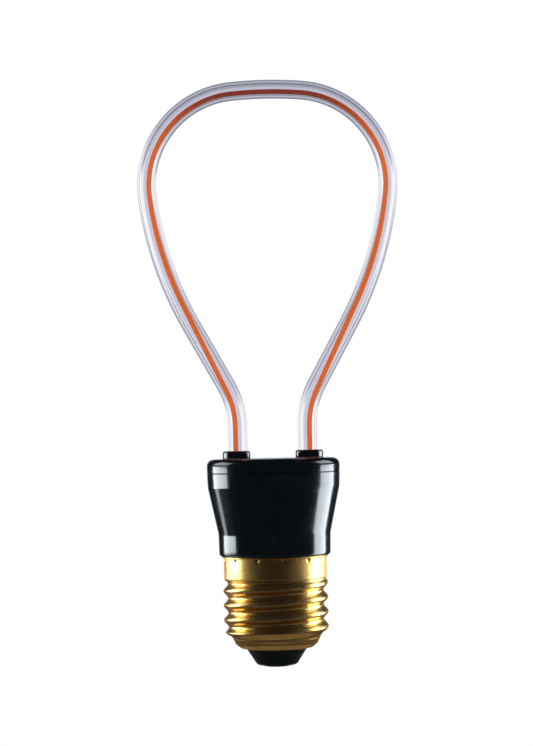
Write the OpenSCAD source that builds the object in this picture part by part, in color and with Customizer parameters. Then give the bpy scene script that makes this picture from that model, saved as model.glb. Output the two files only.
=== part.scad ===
// Screw-cap LED lamp: a flexible filament in a clear tube bent to the outline of a light bulb.
// The origin is the middle of the cap's contact face, and the loop stands up along +Z in the XZ plane.

/* [Glass loop] */
// Height of the whole lamp, from the contact to the top of the glass
overall_h = 146.5; // [140:0.5:153]
// Width of the loop, over the glass
loop_w = 65.1; // [62:0.1:68]
// Distance between the two legs, axis to axis
leg_spacing = 17.4; // [16.8:0.1:18]
// Outside diameter of the glass tube
tube_d = 4.7; // [4.3:0.1:4.9]
// Bore of the glass tube
tube_bore = 2.6; // [2.4:0.1:2.9]
// Straight length of each leg above its collar
leg_rise = 6; // [4:0.5:8]
// Depth of each leg below the top of the lid
leg_depth = 5.5; // [4.5:0.1:6]
// Bend radius where each leg flares out
flare_r = 22; // [18:0.5:26]
// Angle by which the flare leans out past the line from its start to the shoulder
flare_over = 8.7; // [8:0.1:9.5]
// Angle to the upright where the side sweep becomes the shoulder
sweep_a = 6.6; // [5:0.2:8]
// Bend radius of each shoulder
shoulder_r = 23.5; // [22:0.25:25]
// Bend radius of the crown
crown_r = 100; // [80:5:130]

/* [Filament] */
// Diameter of the orange phosphor silicone
coat_d = 1.25; // [1.15:0.05:1.35]
// Width of the flexible strip inside it
strip_w = 0.8; // [0.7:0.02:0.84]
// Thickness of the flexible strip
strip_t = 0.12; // [0.1:0.01:0.14]
// Length of each light-emitting chip
chip_l = 0.6; // [0.4:0.05:0.8]
// Width of each chip
chip_w = 0.5; // [0.4:0.02:0.56]
// Height of each chip above the strip
chip_t = 0.12; // [0.1:0.01:0.14]
// Distance from chip to chip along the strip
chip_pitch = 3; // [2.4:0.1:3.6]
// Thickness of the metal tab at each end of the strip
tab_t = 0.15; // [0.12:0.01:0.18]
// Length of each tab below its plug
tab_drop = 1.6; // [1.2:0.1:2]
// Length of the silicone plug inside each end of the bore
plug_l = 3; // [2:0.1:3.6]
// Thickness of the plug's head below the glass
plug_head_t = 0.8; // [0.5:0.1:1]

/* [Screw cap] */
// Diameter over the thread crests
thread_d = 26.2; // [26:0.05:26.4]
// Depth of the thread, crest to root
thread_depth = 1.15; // [0.95:0.05:1.2]
// Pitch of the thread: seven turns to the inch
thread_pitch = 3.629; // [3.6:0.001:3.66]
// Height of the threaded stretch
thread_h = 15.3; // [14.8:0.1:15.8]
// Thickness of the brass sheet
sheet_t = 0.35; // [0.3:0.05:0.4]
// Diameter of the plain skirt above the thread
skirt_d = 25.6; // [25.5:0.05:25.8]
// Height of the plain skirt
skirt_h = 5.3; // [4.9:0.1:5.7]
// Diameter of the lip at the skirt's upper edge
lip_d = 26.5; // [26.2:0.05:26.7]
// Thickness of the lip
lip_t = 0.4; // [0.3:0.05:0.5]
// Diameter of the rounded nose below the thread
nose_d = 22; // [21.6:0.1:22.2]
// Radius of the nose's rounding
nose_r = 3.55; // [3.4:0.05:3.6]
// Height of the nose
nose_h = 2.65; // [2.5:0.05:2.8]
// Number of punch marks that lock the brass to the housing
punches = 12; // [6:1:16]
// Diameter of each punch mark
punch_d = 0.9; // [0.7:0.05:1]
// Height of the insulator's visible cone
cone_h = 3.75; // [3.4:0.05:4]
// Diameter of the cone's lower end
cone_d = 10.2; // [10:0.1:10.8]
// Height of the contact below the insulator
contact_h = 0.6; // [0.5:0.05:0.8]
// Diameter of the contact
contact_d = 9.6; // [9:0.1:9.8]
// Diameter of the contact's flat face
contact_flat_d = 5.6; // [4.6:0.1:7]
// Diameter of the contact's hollow stem
stem_d = 2.6; // [2.4:0.1:3]
// Wall of the stem
stem_t = 0.5; // [0.4:0.05:0.55]

/* [Housing] */
// Height of the straight neck above the brass
neck_h = 5.6; // [5.2:0.1:6.2]
// Diameter of the neck
neck_d = 27.8; // [27.6:0.1:28.2]
// Height of the flared part
flare_h = 11.5; // [10.8:0.1:12]
// Diameter above the flare
belt_d = 32.9; // [32.6:0.1:33.4]
// Height of the belt between the flare and the seam
belt_h = 3.7; // [3.5:0.1:4.4]
// Height of the lid above the seam
lid_h = 3.5; // [3.3:0.1:4]
// Thickness of the lid's top
lid_t = 1.8; // [1.5:0.1:2]
// Radius of the lid's upper edge
lid_edge_r = 1.7; // [1.2:0.1:1.8]
// Radius of the neck's lower edge
neck_edge_r = 0.8; // [0.4:0.1:0.9]
// Radius that softens the edges below and above the flare
form_r = 3; // [1:0.5:5]
// Wall of the housing
wall = 1.55; // [1.45:0.05:1.7]
// Diameter of the spigot inside the brass thread
spigot_d = 22.9; // [22.6:0.1:23]
// Bore of the spigot
spigot_bore = 20; // [19.8:0.1:20.2]
// Diameter of each collar round a leg
collar_d = 6.9; // [6.8:0.05:7.1]
// Height of each collar above the lid
collar_h = 1.95; // [1.6:0.05:2.6]
// Radius of each collar's upper edge
collar_edge_r = 0.6; // [0.3:0.05:0.6]
// Distance by which each collar's middle lies outside its leg's
collar_shift = 0.4; // [0.1:0.05:0.4]
// Gap for the sealant between leg and collar
seal_gap = 0.5; // [0.48:0.01:0.52]
// Thickness of the gasket under each collar
gasket_t = 0.2; // [0.15:0.01:0.25]

/* [Driver] */
// Thickness of the circuit board
board_t = 1; // [0.8:0.1:1.2]
// Width of the board's tail in the spigot
tail_w = 18; // [17.6:0.1:18.4]
// Width of the board's head
head_w = 21.6; // [21:0.1:22]
// Distance of the board's front face behind the axis
board_y = 1; // [0.9:0.05:1.3]
// Diameter of the smoothing capacitor's can
can_d = 8; // [7:0.1:8.2]
// Length of the can
can_l = 11; // [9:0.1:11.2]
// Diameter of the choke
choke_d = 8; // [7:0.1:8.4]
// Length of the choke
choke_l = 7; // [6:0.1:7.4]
// Diameter of the choke's wire
choke_wire_d = 0.3; // [0.2:0.02:0.4]
// Width of the film capacitor
film_w = 6.5; // [6:0.1:6.8]
// Thickness of the film capacitor
film_t = 4; // [3:0.1:4.4]
// Height of the film capacitor
film_h = 7; // [6:0.1:7.6]
// Diameter of the varistor
varistor_d = 7; // [6:0.1:7.4]
// Thickness of the varistor
varistor_t = 2.8; // [2.2:0.1:3.2]
// Diameter of the fusible resistor
fuse_d = 2.6; // [2.2:0.1:2.8]
// Length of the fusible resistor
fuse_l = 6.4; // [5.5:0.1:6.6]
// Diameter of the insulated leads
lead_d = 0.9; // [0.8:0.05:1]
// Diameter of the components' bare legs
leg_d = 0.6; // [0.5:0.02:0.64]

/* [Hidden] */
$fn = 64;

black = [0.05, 0.06, 0.07];
brass = [0.85, 0.65, 0.28];
orange = [0.86, 0.36, 0.1];
clear_glass = [0.82, 0.85, 0.92, 0.35];
milky = [0.9, 0.9, 0.88];
seal_red = [0.5, 0.16, 0.1];
tinned = [0.75, 0.76, 0.78];
board_green = [0.12, 0.35, 0.2];
chip_black = [0.1, 0.1, 0.11];
copper = [0.72, 0.4, 0.2];

// Clearances
slip = 0.05;        // between rigid pieces that slide or press together
cast_gap = 0.02;    // round soft fillings and what they fill
chip_gap = 0.03;    // round the chips and the strip in their silicone
coat_gap = 0.08;    // between the coated filament and the bore that it hugs
guide_gap = 0.1;    // on each side of the board in its guides
leg_gap = 0.1;      // round a leg in its hole in the board
part_gap = 0.25;    // between a component and the board

// Heights, from the contact face up
z_cone = contact_h;
z_nose = z_cone + cone_h;
z_thread = z_nose + nose_h;
z_skirt = z_thread + thread_h;
z_neck = z_skirt + skirt_h;
z_flare = z_neck + neck_h;
z_belt = z_flare + flare_h;
z_seam = z_belt + belt_h;
z_lid = z_seam + lid_h;
z_collar = z_lid + collar_h;
z_tube_end = z_lid - leg_depth;
z_apex = overall_h - tube_d / 2;

// The bent path of the glass, solved from the sizes of the loop.
// Each half is a straight leg, a flare, a straight side, a wide sweep, a shoulder and half the crown.
leg_x = leg_spacing / 2;
half_w = (loop_w - tube_d) / 2;
z_bend = z_collar + leg_rise;
crown_a = acos((half_w - shoulder_r) / (crown_r - shoulder_r));
z_widest = z_apex - shoulder_r * sin(crown_a) - crown_r * (1 - sin(crown_a));
shoulder_start = [half_w - shoulder_r * (1 - cos(sweep_a)), z_widest - shoulder_r * sin(sweep_a)];
flare_a = flare_over + atan2(shoulder_start[0] - leg_x, shoulder_start[1] - z_bend);
run_x = shoulder_start[0] - leg_x - flare_r * (1 - cos(flare_a));
run_z = shoulder_start[1] - z_bend - flare_r * sin(flare_a);
side_r = (run_z * sin(flare_a) - run_x * cos(flare_a)) / (1 - cos(flare_a - sweep_a));

flare_c = [leg_x + flare_r, z_bend];
side_c = shoulder_start + side_r * [-cos(sweep_a), sin(sweep_a)];
shoulder_c = [half_w - shoulder_r, z_widest];
crown_c = [0, z_apex - crown_r];

// A path that hugs the inside of every bend by off shares the bends' middles, so that
// its straight side is the inner tangent of two smaller circles.
function side_turn(off) = flare_r + side_r - 2 * off;
function side_length(off) = sqrt((side_c - flare_c) * (side_c - flare_c) - side_turn(off) ^ 2);
function side_lean(off) =
    atan2(side_c[0] - flare_c[0], side_c[1] - flare_c[1]) + atan2(side_turn(off), side_length(off));
function side_start(off) =
    flare_c + (flare_r - off) * [-cos(side_lean(off)), sin(side_lean(off))];

// Number of straight steps that follow an arc to within chord_err
chord_err = 0.02;
function steps(r, angle) = ceil(abs(angle) / (2 * acos(1 - chord_err / r)));

// Stations [x, z, lean] of a bend that turns toward the axis, from one lean to another
function inward(c, r, off, from, to) =
    [for (i = [0 : steps(r, from - to)])
        let (a = from + (to - from) * i / steps(r, from - to))
            [c[0] + (r - off) * cos(a), c[1] - (r - off) * sin(a), a]];

// Stations of the flare, which turns away from the axis
function outward(off, to) =
    [for (i = [0 : steps(flare_r, flare_a)])
        let (a = to * i / steps(flare_r, flare_a))
            [flare_c[0] - (flare_r - off) * cos(a), flare_c[1] + (flare_r - off) * sin(a), a]];

function but_first(list) = [for (i = [1 : len(list) - 1]) list[i]];

// Stations from height z0 on the right leg up to the middle of the crown
function half_path(off, z0) = concat(
    [[leg_x + off, z0, 0]],
    outward(off, side_lean(off)),
    inward(side_c, side_r, off, side_lean(off), sweep_a),
    but_first(inward(shoulder_c, shoulder_r, off, sweep_a, -crown_a)),
    but_first(inward(crown_c, crown_r, off, -crown_a, -90))
);

// Stations of the whole loop, from the right leg over the crown to the left leg
function loop_path(off, z0) =
    let (half = half_path(off, z0), n = len(half))
        concat(half, [for (i = [n - 2 : -1 : 0]) [-half[i][0], half[i][1], -180 - half[i][2]]]);

// Points of a round outline with n sides
function round_outline(d, n) = [for (k = [0 : n - 1]) let (a = 360 * (k + 0.5) / n) d / 2 * [cos(a), sin(a)]];

// Points of a rectangle between u0 and u1 across the path, and w wide along Y
function box_outline(u0, u1, w) = [[u1, w / 2], [u0, w / 2], [u0, -w / 2], [u1, -w / 2]];

function swept(path, outline) = [
    for (p = path, q = outline) [p[0] + q[0] * cos(p[2]), q[1], p[1] - q[0] * sin(p[2])]
];

// Side faces between the rings of a sweep whose points start at first, with n points to a ring
function skin(rings, n, first, inside) = [
    for (i = [0 : rings - 2], k = [0 : n - 1], second = [false, true])
        let (a = first + i * n + k, b = first + i * n + (k + 1) % n, c = b + n, d = a + n)
            inside ? (second ? [a, b, c] : [a, c, d]) : (second ? [a, c, b] : [a, d, c])
];

// A solid swept along a path
module swept_rod(path, outline) {
    n = len(outline);
    rings = len(path);
    last = (rings - 1) * n;
    caps = [[for (k = [0 : n - 1]) k], [for (k = [n - 1 : -1 : 0]) last + k]];
    polyhedron(swept(path, outline), concat(skin(rings, n, 0, false), caps));
}

// A tube swept along a path; n is the number of points of its outer outline, m of its bore's
module swept_tube(path, outline, bore) {
    n = len(outline);
    m = len(bore);
    rings = len(path);
    bore_at = rings * n;
    ends = [[0, bore_at, false], [(rings - 1) * n, bore_at + (rings - 1) * m, true]];
    caps = [
        for (e = ends, k = [0 : n - 1])
            let (j = floor(k * m / n), face = [e[0] + k, e[0] + (k + 1) % n, e[1] + j])
                e[2] ? [face[2], face[1], face[0]] : face
    ];
    fills = [
        for (e = ends, k = [0 : n - 1])
            let (
                j = floor(k * m / n),
                next = floor((k + 1) * m / n) % m,
                face = [e[0] + (k + 1) % n, e[1] + next, e[1] + j]
            ) if (next != j) e[2] ? [face[2], face[1], face[0]] : face
    ];
    polyhedron(
        concat(swept(path, outline), swept(path, bore)),
        concat(skin(rings, n, 0, false), skin(rings, m, bore_at, true), caps, fills)
    );
}

// Filament: where it lies in the bore, and where its pieces end
fil_off = (tube_bore - coat_d) / 2 - coat_gap;
fil_x = leg_x + fil_off;
coat_rise = 0.6;     // of the coating above its plug
bare_strip = 0.3;    // of strip below the coating
z_coat = z_tube_end + plug_l + coat_rise;
z_strip = z_coat - bare_strip;
z_tab = z_tube_end - plug_head_t - tab_drop;

// Lengths along half the filament at which one stretch becomes the next
fil_lean = side_lean(fil_off);
fil_1 = z_bend - z_coat;
fil_2 = fil_1 + (flare_r - fil_off) * fil_lean * PI / 180;
fil_3 = fil_2 + side_length(fil_off);
fil_4 = fil_3 + (side_r - fil_off) * (fil_lean - sweep_a) * PI / 180;
fil_5 = fil_4 + (shoulder_r - fil_off) * (sweep_a + crown_a) * PI / 180;
fil_6 = fil_5 + (crown_r - fil_off) * (90 - crown_a) * PI / 180;

// Point [x, z, lean] round a bend toward the axis, s past the point that leans by lean
function round_bend(c, r, lean, s) =
    let (a = lean - s / r * 180 / PI) [c[0] + r * cos(a), c[1] - r * sin(a), a];

// Point [x, z, lean] of the right half of the filament, s along from the coating's end
function on_filament(s) =
    s < fil_1 ? [fil_x, z_coat + s, 0]
    : s < fil_2 ? let (a = (s - fil_1) / (flare_r - fil_off) * 180 / PI)
        [flare_c[0] - (flare_r - fil_off) * cos(a), flare_c[1] + (flare_r - fil_off) * sin(a), a]
    : s < fil_3 ? let (p = side_start(fil_off) + (s - fil_2) * [sin(fil_lean), cos(fil_lean)])
        [p[0], p[1], fil_lean]
    : s < fil_4 ? round_bend(side_c, side_r - fil_off, fil_lean, s - fil_3)
    : s < fil_5 ? round_bend(shoulder_c, shoulder_r - fil_off, sweep_a, s - fil_4)
    : round_bend(crown_c, crown_r - fil_off, -crown_a, s - fil_5);

chips_per_half = floor((fil_6 - chip_pitch) / chip_pitch);
tube_sides = 18;
coat_sides = 12;

module glass_tube() {
    color(clear_glass) swept_tube(
        loop_path(0, z_tube_end), round_outline(tube_d, tube_sides), round_outline(tube_bore, tube_sides)
    );
}

// The silicone, with a channel that clears the strip and the chips on its outer face
module filament_coating() {
    channel = box_outline(
        -strip_t / 2 - chip_gap, strip_t / 2 + chip_t + 2 * chip_gap, strip_w + 2 * chip_gap
    );
    color(orange) swept_tube(loop_path(fil_off, z_coat), round_outline(coat_d, coat_sides), channel);
}

module filament_strip() {
    color(milky) swept_rod(loop_path(fil_off, z_strip), box_outline(-strip_t / 2, strip_t / 2, strip_w));
}

module led_chips() {
    color("gold") for (half = [0, 1], k = [0 : chips_per_half - 1]) {
        p = on_filament(fil_6 - (k + 0.5) * chip_pitch);
        mirror([half, 0, 0]) translate([p[0], 0, p[1]]) rotate([0, p[2], 0])
            translate([strip_t / 2 + chip_gap, -chip_w / 2, -chip_l / 2]) cube([chip_t, chip_w, chip_l]);
    }
}

// Metal tab that carries the current from the strip's end down through the plug
module end_tab() {
    color(tinned) translate([fil_x - tab_t / 2, -strip_w / 2, z_tab]) cube([tab_t, strip_w, z_strip - z_tab]);
}

module tube_plug() {
    slot = [tab_t + 2 * cast_gap, strip_w + 2 * cast_gap];
    color(milky) difference() {
        translate([leg_x, 0, z_tube_end]) union() {
            cylinder(d = tube_bore - 2 * slip, h = plug_l);
            translate([0, 0, -plug_head_t]) cylinder(d = tube_d, h = plug_head_t);
        }
        translate([fil_x - slot[0] / 2, -slot[1] / 2, z_tab]) cube([slot[0], slot[1], z_strip]);
    }
}

// Lid, collars and what seals the legs into them
collar_x = leg_x + collar_shift;
collar_bore = tube_d + 2 * seal_gap;
belt_r = belt_d / 2;
belt_draft = 0.15;
lid_r = belt_r + belt_draft;
rim_h = 2.5;
rim_t = 1.2;
rim_r = belt_r - wall - slip;
boss_wall = 1.3;
boss_d = collar_bore + 2 * boss_wall;
z_boss = z_tube_end + plug_head_t;
seal_dip = 0.35;
thin_edge = 0.05;
collar_edge = min(collar_edge_r, (collar_d - collar_bore) / 2 - thin_edge);
seam_bevel = 0.15;
hooks = 3;
hook = [0.45, 3, 0.8];
hook_gap = 0.15;
hook_rise = 0.3;
z_hook = z_seam - rim_h + hook_rise;

// Points of an arc round c, from one angle to another
function arc(c, r, from, to, steps = 8) =
    [for (i = [0 : steps]) let (a = from + (to - from) * i / steps) c + r * [cos(a), sin(a)]];

// Points of the curve of radius r that softens the corner p between the straights from before and to after
function soft_corner(before, p, after, r, steps = 6) =
    let (
        u = (before - p) / norm(before - p),
        v = (after - p) / norm(after - p),
        half = acos(u * v) / 2,
        c = p + (u + v) / norm(u + v) * r / sin(half),
        turn = sign(u[0] * v[1] - u[1] * v[0]) * (180 - 2 * half),
        start = p + u * r / tan(half) - c
    ) [for (i = [0 : steps]) let (a = -turn * i / steps)
        c + [start[0] * cos(a) - start[1] * sin(a), start[0] * sin(a) + start[1] * cos(a)]];

module collar() {
    color(black) translate([collar_x, 0, 0]) rotate_extrude() polygon(concat(
        [[collar_bore / 2, z_lid + gasket_t], [collar_d / 2, z_lid + gasket_t]],
        arc([collar_d / 2 - collar_edge, z_collar - collar_edge], collar_edge, 0, 90),
        [[collar_bore / 2, z_collar]]
    ));
}

module gasket() {
    color(seal_red) translate([collar_x, 0, z_lid]) difference() {
        cylinder(d = collar_d, h = gasket_t);
        translate([0, 0, -1]) cylinder(d = collar_bore, h = gasket_t + 2);
    }
}

module sealant() {
    h = z_collar - seal_dip - z_boss;
    color(milky) difference() {
        translate([collar_x, 0, z_boss]) cylinder(d = collar_bore - 2 * cast_gap, h = h);
        translate([leg_x, 0, z_boss - 1]) cylinder(d = tube_d + 2 * cast_gap, h = h + 2);
    }
}

// Boxes of the snap hooks round the lid's rim, each grown by gap
module hook_boxes(gap) {
    for (i = [0 : hooks - 1]) rotate([0, 0, 90 + 360 / hooks * i])
        translate([rim_r - 1 - gap, -hook[1] / 2 - gap, z_hook - gap])
            cube([1 + hook[0] + 2 * gap, hook[1] + 2 * gap, hook[2] + 2 * gap]);
}

module housing_lid() {
    color(black) difference() {
        union() {
            difference() {
                rotate_extrude() polygon(concat(
                    [[0, z_seam - rim_h], [rim_r, z_seam - rim_h], [rim_r, z_seam]],
                    [[lid_r - seam_bevel, z_seam], [lid_r, z_seam + seam_bevel]],
                    arc([lid_r - lid_edge_r, z_lid - lid_edge_r], lid_edge_r, 0, 90),
                    [[0, z_lid]]
                ));
                translate([0, 0, z_seam - rim_h - 1])
                    cylinder(r = rim_r - rim_t, h = z_lid - lid_t - z_seam + rim_h + 1);
            }
            for (side = [-1, 1]) translate([side * collar_x, 0, z_boss])
                cylinder(d = boss_d, h = z_lid - lid_t / 2 - z_boss);
            hook_boxes(0);
        }
        for (side = [-1, 1]) translate([side * collar_x, 0, z_boss - 1])
            cylinder(d = collar_bore, h = z_lid - z_boss + 2);
    }
}

// Housing
neck_r = neck_d / 2;
neck_draft = 0.12;
spigot_r = spigot_d / 2;
bore_r = spigot_bore / 2;
stub_r = skirt_d / 2 - sheet_t - slip;
spigot_rise = 3;      // of the spigot's lower edge above the nose
stub_rise = 0.6;      // of the spigot's shoulder above the thread, and the height of its chamfer
ledge_rise = 1.5;     // of the ledge that the board's head sits on above the brass
tail_rise = 0.4;      // of the board above the spigot's lower edge
tab_overlap = 1.4;    // of the board's head past the lower ends of the tabs
guide = [2.2, 1.1];   // width and thickness of a board guide
guide_bite = 0.9;     // of the guide over the board's edge
wall_bite = 0.5;      // of the guide into the spigot's wall
z_spigot = z_thread + spigot_rise;
z_stub = z_skirt + stub_rise;
z_ledge = z_neck + ledge_rise;
z_tail = z_spigot + tail_rise;
z_head_top = z_tab + tab_overlap;

// Middles of the punch marks, as a distance from the axis and a height
punch_drop = 1.05;    // below the lip
punch_depth = 0.25;
z_punch = z_neck - lip_t - punch_drop;
punch_x = skirt_d / 2 + punch_d / 2 - punch_depth;
bump_x = punch_x - sheet_t;

module punch_balls(x, d) {
    for (i = [0 : punches - 1]) rotate([0, 0, 360 / punches * (i + 1 / 3)])
        translate([x, 0, z_punch]) sphere(d = d);
}

// Two channels inside the spigot that hold the edges of the board
module board_guides() {
    slot_t = board_t + 2 * guide_gap;
    h = z_ledge - z_spigot;
    intersection() {
        translate([0, 0, z_spigot]) cylinder(r = bore_r + wall_bite, h = h);
        for (side = [-1, 1]) on_side(side) difference() {
            translate([tail_w / 2 - guide_bite, board_y + board_t / 2 - slot_t / 2 - guide[1], z_spigot])
                cube([guide[0], slot_t + 2 * guide[1], h]);
            translate([0, board_y + board_t / 2 - slot_t / 2, z_spigot - 1])
                cube([tail_w / 2 + guide_gap, slot_t, h + 2]);
        }
    }
}

// The children as they are, or mirrored to the left
module on_side(side) {
    mirror([side < 0 ? 1 : 0, 0, 0]) children();
}

module housing_body() {
    neck_foot = [neck_r, z_neck + neck_edge_r];
    neck_top = [neck_r + neck_draft, z_flare];
    belt_foot = [belt_r, z_belt];
    belt_top = [lid_r, z_seam - seam_bevel];
    color(black) difference() {
        union() {
            difference() {
                rotate_extrude() polygon(concat(
                    [[0, z_spigot], [spigot_r, z_spigot], [spigot_r, z_stub]],
                    [[stub_r, z_stub + stub_rise], [stub_r, z_neck]],
                    arc([neck_r - neck_edge_r, z_neck + neck_edge_r], neck_edge_r, -90, 0),
                    soft_corner(neck_foot, neck_top, belt_foot, form_r),
                    soft_corner(neck_top, belt_foot, belt_top, form_r),
                    [belt_top, [lid_r - seam_bevel, z_seam], [0, z_seam]]
                ));
                rotate_extrude() polygon([
                    [0, z_spigot - 1], [bore_r, z_spigot - 1], [bore_r, z_ledge],
                    [neck_r - wall, z_ledge], [neck_r - wall, z_flare], [belt_r - wall, z_belt],
                    [belt_r - wall, z_seam + 1], [0, z_seam + 1]
                ]);
            }
            board_guides();
        }
        hook_boxes(hook_gap);
        punch_balls(bump_x, punch_d + 2 * slip);
        neutral_notch();
    }
}

// Screw shell
shell_rows = 44;
shell_inner_rows = 26;
shell_sides = 60;
crest_r = thread_d / 2;
root_r = crest_r - thread_depth;
skirt_r = skirt_d / 2;
nose_c = [nose_d / 2 - nose_r, z_nose + nose_r];
waist_r = nose_c[0] + sqrt(nose_r ^ 2 - (nose_c[1] - z_thread) ^ 2);
nose_hole_r = nose_c[0] + 0.1;    // just inside the nose's lowest circle
first_crest = 2.9;                // height of the first crest above the nose, toward +X
z_first_crest = z_thread + first_crest;
foot_fade = 2;                    // height over which the thread grows out of the nose
head_fade = 1.2;                  // height over which it runs out into the skirt
joint_step = 0.03;                // by which the thread's ends lie inside the sheet
joint_lap = 0.2;                  // of the thread's ends into the nose and the skirt
lip_slope = 0.1;                  // half the height of the slope under the lip

function clamp(x) = min(max(x, 0), 1);
function ease(x) = let (t = clamp(x)) t * t * (3 - 2 * t);

// Outer radius of the brass: a rounded thread that fades into the nose below and the skirt above
function thread_r(a, z) =
    let (
        foot = ease((z - z_thread) / foot_fade),
        head = ease((z_skirt - z) / head_fade),
        core = waist_r + (root_r - waist_r) * foot,
        ridge = thread_depth * (1 + cos(360 * (z - z_first_crest) / thread_pitch - a)) / 2,
        body = core + ridge * foot
    ) skirt_r + (body - skirt_r) * head;

// The threaded stretch as one closed mesh; its two ends lap into the turned nose and skirt
module thread_mesh() {
    up = [for (i = [0 : shell_rows]) z_thread + thread_h * i / shell_rows];
    down = [for (i = [shell_inner_rows : -1 : 0]) z_thread + thread_h * i / shell_inner_rows];
    outer = concat([z_thread - joint_lap], up, [z_skirt + joint_lap]);
    inner = concat([z_skirt + joint_lap], down, [z_thread - joint_lap]);
    loops = concat(
        [for (z = outer) [z, -joint_step]],
        [for (z = inner) [z, joint_step - sheet_t]]
    );
    points = [
        for (row = loops, k = [0 : shell_sides - 1])
            let (
                a = 360 / shell_sides * k,
                z = min(max(row[0], z_thread), z_skirt),
                r = thread_r(a, z) + row[1]
            ) [r * cos(a), r * sin(a), row[0]]
    ];
    rows = len(loops);
    faces = [
        for (i = [0 : rows - 1], k = [0 : shell_sides - 1], half = [0, 1])
            let (
                j = (i + 1) % rows,
                n = (k + 1) % shell_sides,
                p = i * shell_sides + k,
                q = i * shell_sides + n,
                s = j * shell_sides + n,
                t = j * shell_sides + k
            ) half == 0 ? [p, t, s] : [p, s, q]
    ];
    polyhedron(points, faces);
}

module turned_nose() {
    rotate_extrude() intersection() {
        difference() {
            translate(nose_c) circle(nose_r);
            translate(nose_c) circle(nose_r - sheet_t);
        }
        translate([nose_hole_r, z_nose]) square([nose_r, nose_h]);
    }
}

module turned_skirt() {
    rotate_extrude() polygon([
        [skirt_r - sheet_t, z_skirt], [skirt_r, z_skirt], [skirt_r, z_neck - lip_t - lip_slope],
        [lip_d / 2, z_neck - lip_t + lip_slope], [lip_d / 2, z_neck], [skirt_r - sheet_t, z_neck]
    ]);
}

module screw_shell() {
    color(brass) difference() {
        union() {
            turned_nose();
            thread_mesh();
            turned_skirt();
            punch_balls(bump_x, punch_d);
        }
        punch_balls(punch_x, punch_d);
    }
}

// Insulator: the visible cone, and a flange that beds on the inside of the nose
cone_r = cone_d / 2;
cone_edge_r = 0.3;
flange_r = nose_r - sheet_t - slip;
flange_drop = 0.8;
z_flange = z_thread - flange_drop;
stem_r = stem_d / 2;
stem_bore_r = stem_r - stem_t;

module cap_insulator() {
    neck = nose_hole_r - slip;
    color(chip_black) rotate_extrude() difference() {
        union() {
            polygon(concat(
                [[0, z_cone]],
                arc([cone_r - cone_edge_r, z_cone + cone_edge_r], cone_edge_r, -90, -30, 4),
                [[neck, z_nose], [neck, z_nose + sheet_t + slip], [0, z_nose + sheet_t + slip]]
            ));
            intersection() {
                union() {
                    translate(nose_c) circle(flange_r);
                    translate([0, nose_c[1] - flange_r]) square([nose_c[0], flange_r]);
                }
                translate([0, z_nose + sheet_t]) square([nose_d, z_flange - z_nose - sheet_t]);
            }
        }
        translate([-1, 0]) square([1 + stem_r + slip, z_flange + 1]);
    }
}

// Contact: a shallow dish with a hollow stem, spread over the flange like a rivet
z_rivet = z_flange + slip;
rivet_h = 0.4;
rivet_foot = 0.6;    // how far the rivet spreads at its foot, and at its top
rivet_top = 0.3;
rim_part = 0.7;      // share of the contact's height that its rim rises by

module centre_contact() {
    color(brass) rotate_extrude() polygon([
        [stem_bore_r, 0], [contact_flat_d / 2, 0], [contact_d / 2, contact_h * rim_part],
        [contact_d / 2, z_cone], [stem_r, z_cone], [stem_r, z_rivet], [stem_r + rivet_foot, z_rivet],
        [stem_r + rivet_top, z_rivet + rivet_h], [stem_bore_r, z_rivet + rivet_h]
    ]);
}

z_solder = 1;

module contact_solder() {
    color(tinned) translate([0, 0, slip]) cylinder(r = stem_bore_r - cast_gap, h = z_solder - slip);
}

// Places on the board: a hole or a component's middle, as [x, z]
lead_r = lead_d / 2;
leg_r = leg_d / 2;
elbow_r = 0.8;
leg_end = 0.6;               // of each leg behind the board
board_back = board_y + board_t;
leg_end_y = board_back + leg_end;
lead_hole_rise = 1.5;        // of the leads' holes above the board's lower edge
z_lead_hole = z_tail + lead_hole_rise;
neutral_inset = 2.6;         // of the neutral lead from the board's edge
neutral_x = tail_w / 2 - neutral_inset;

sleeve_t = 0.3;
fuse_rise = 4.2;             // of the resistor above the board's lower edge
fuse_at = [0, z_tail + fuse_rise];
fuse_y = board_y - part_gap - fuse_d / 2 - sleeve_t;
fuse_leg_reach = 2;          // of its legs past its body
fuse_leg_x = fuse_l / 2 + fuse_leg_reach;

can_sleeve_t = 0.12;
can_y = board_y - part_gap - can_d / 2 - can_sleeve_t - slip;
can_leg_inset = 0.25;
can_leg_x = can_d / 4 - can_leg_inset;
can_leg_rise = 1;            // of the can above the holes of its legs
room_over_fuse = 0.8;        // between the resistor's sleeve and the can's legs
z_can_leg = fuse_at[1] + fuse_d / 2 + sleeve_t + room_over_fuse;
z_can = z_can_leg + can_leg_rise;

part_room = 0.8;             // from the axis to the choke and to the film capacitor
parts_rise = 4.7;            // of these two above the can
z_parts = z_can + can_l + parts_rise + choke_d / 2;
choke_at = [part_room + choke_d / 2, z_parts];
choke_y = board_y - part_gap - choke_l;
choke_flange_t = 1;
choke_hub_d = choke_d / 2;
choke_pin_inset = 1;
choke_pin_z = choke_d / 2 - choke_pin_inset;
choke_dip = 0.6;             // of the winding below the flanges' edges
film_at = [-part_room - film_w / 2, z_parts];
film_y = board_y - part_gap - film_t;
film_pin_inset = 0.8;
film_pin_x = film_w / 2 - film_pin_inset;
varistor_rise = 1.4;         // of its lower edge above the can's legs
varistor_at = [0, z_can_leg + varistor_rise + varistor_d / 2];
varistor_y = board_back + part_gap;
varistor_pin_inset = 1;
varistor_pin_x = varistor_d / 2 - varistor_pin_inset;
pin_end = 0.1;               // of its legs in front of the board

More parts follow.
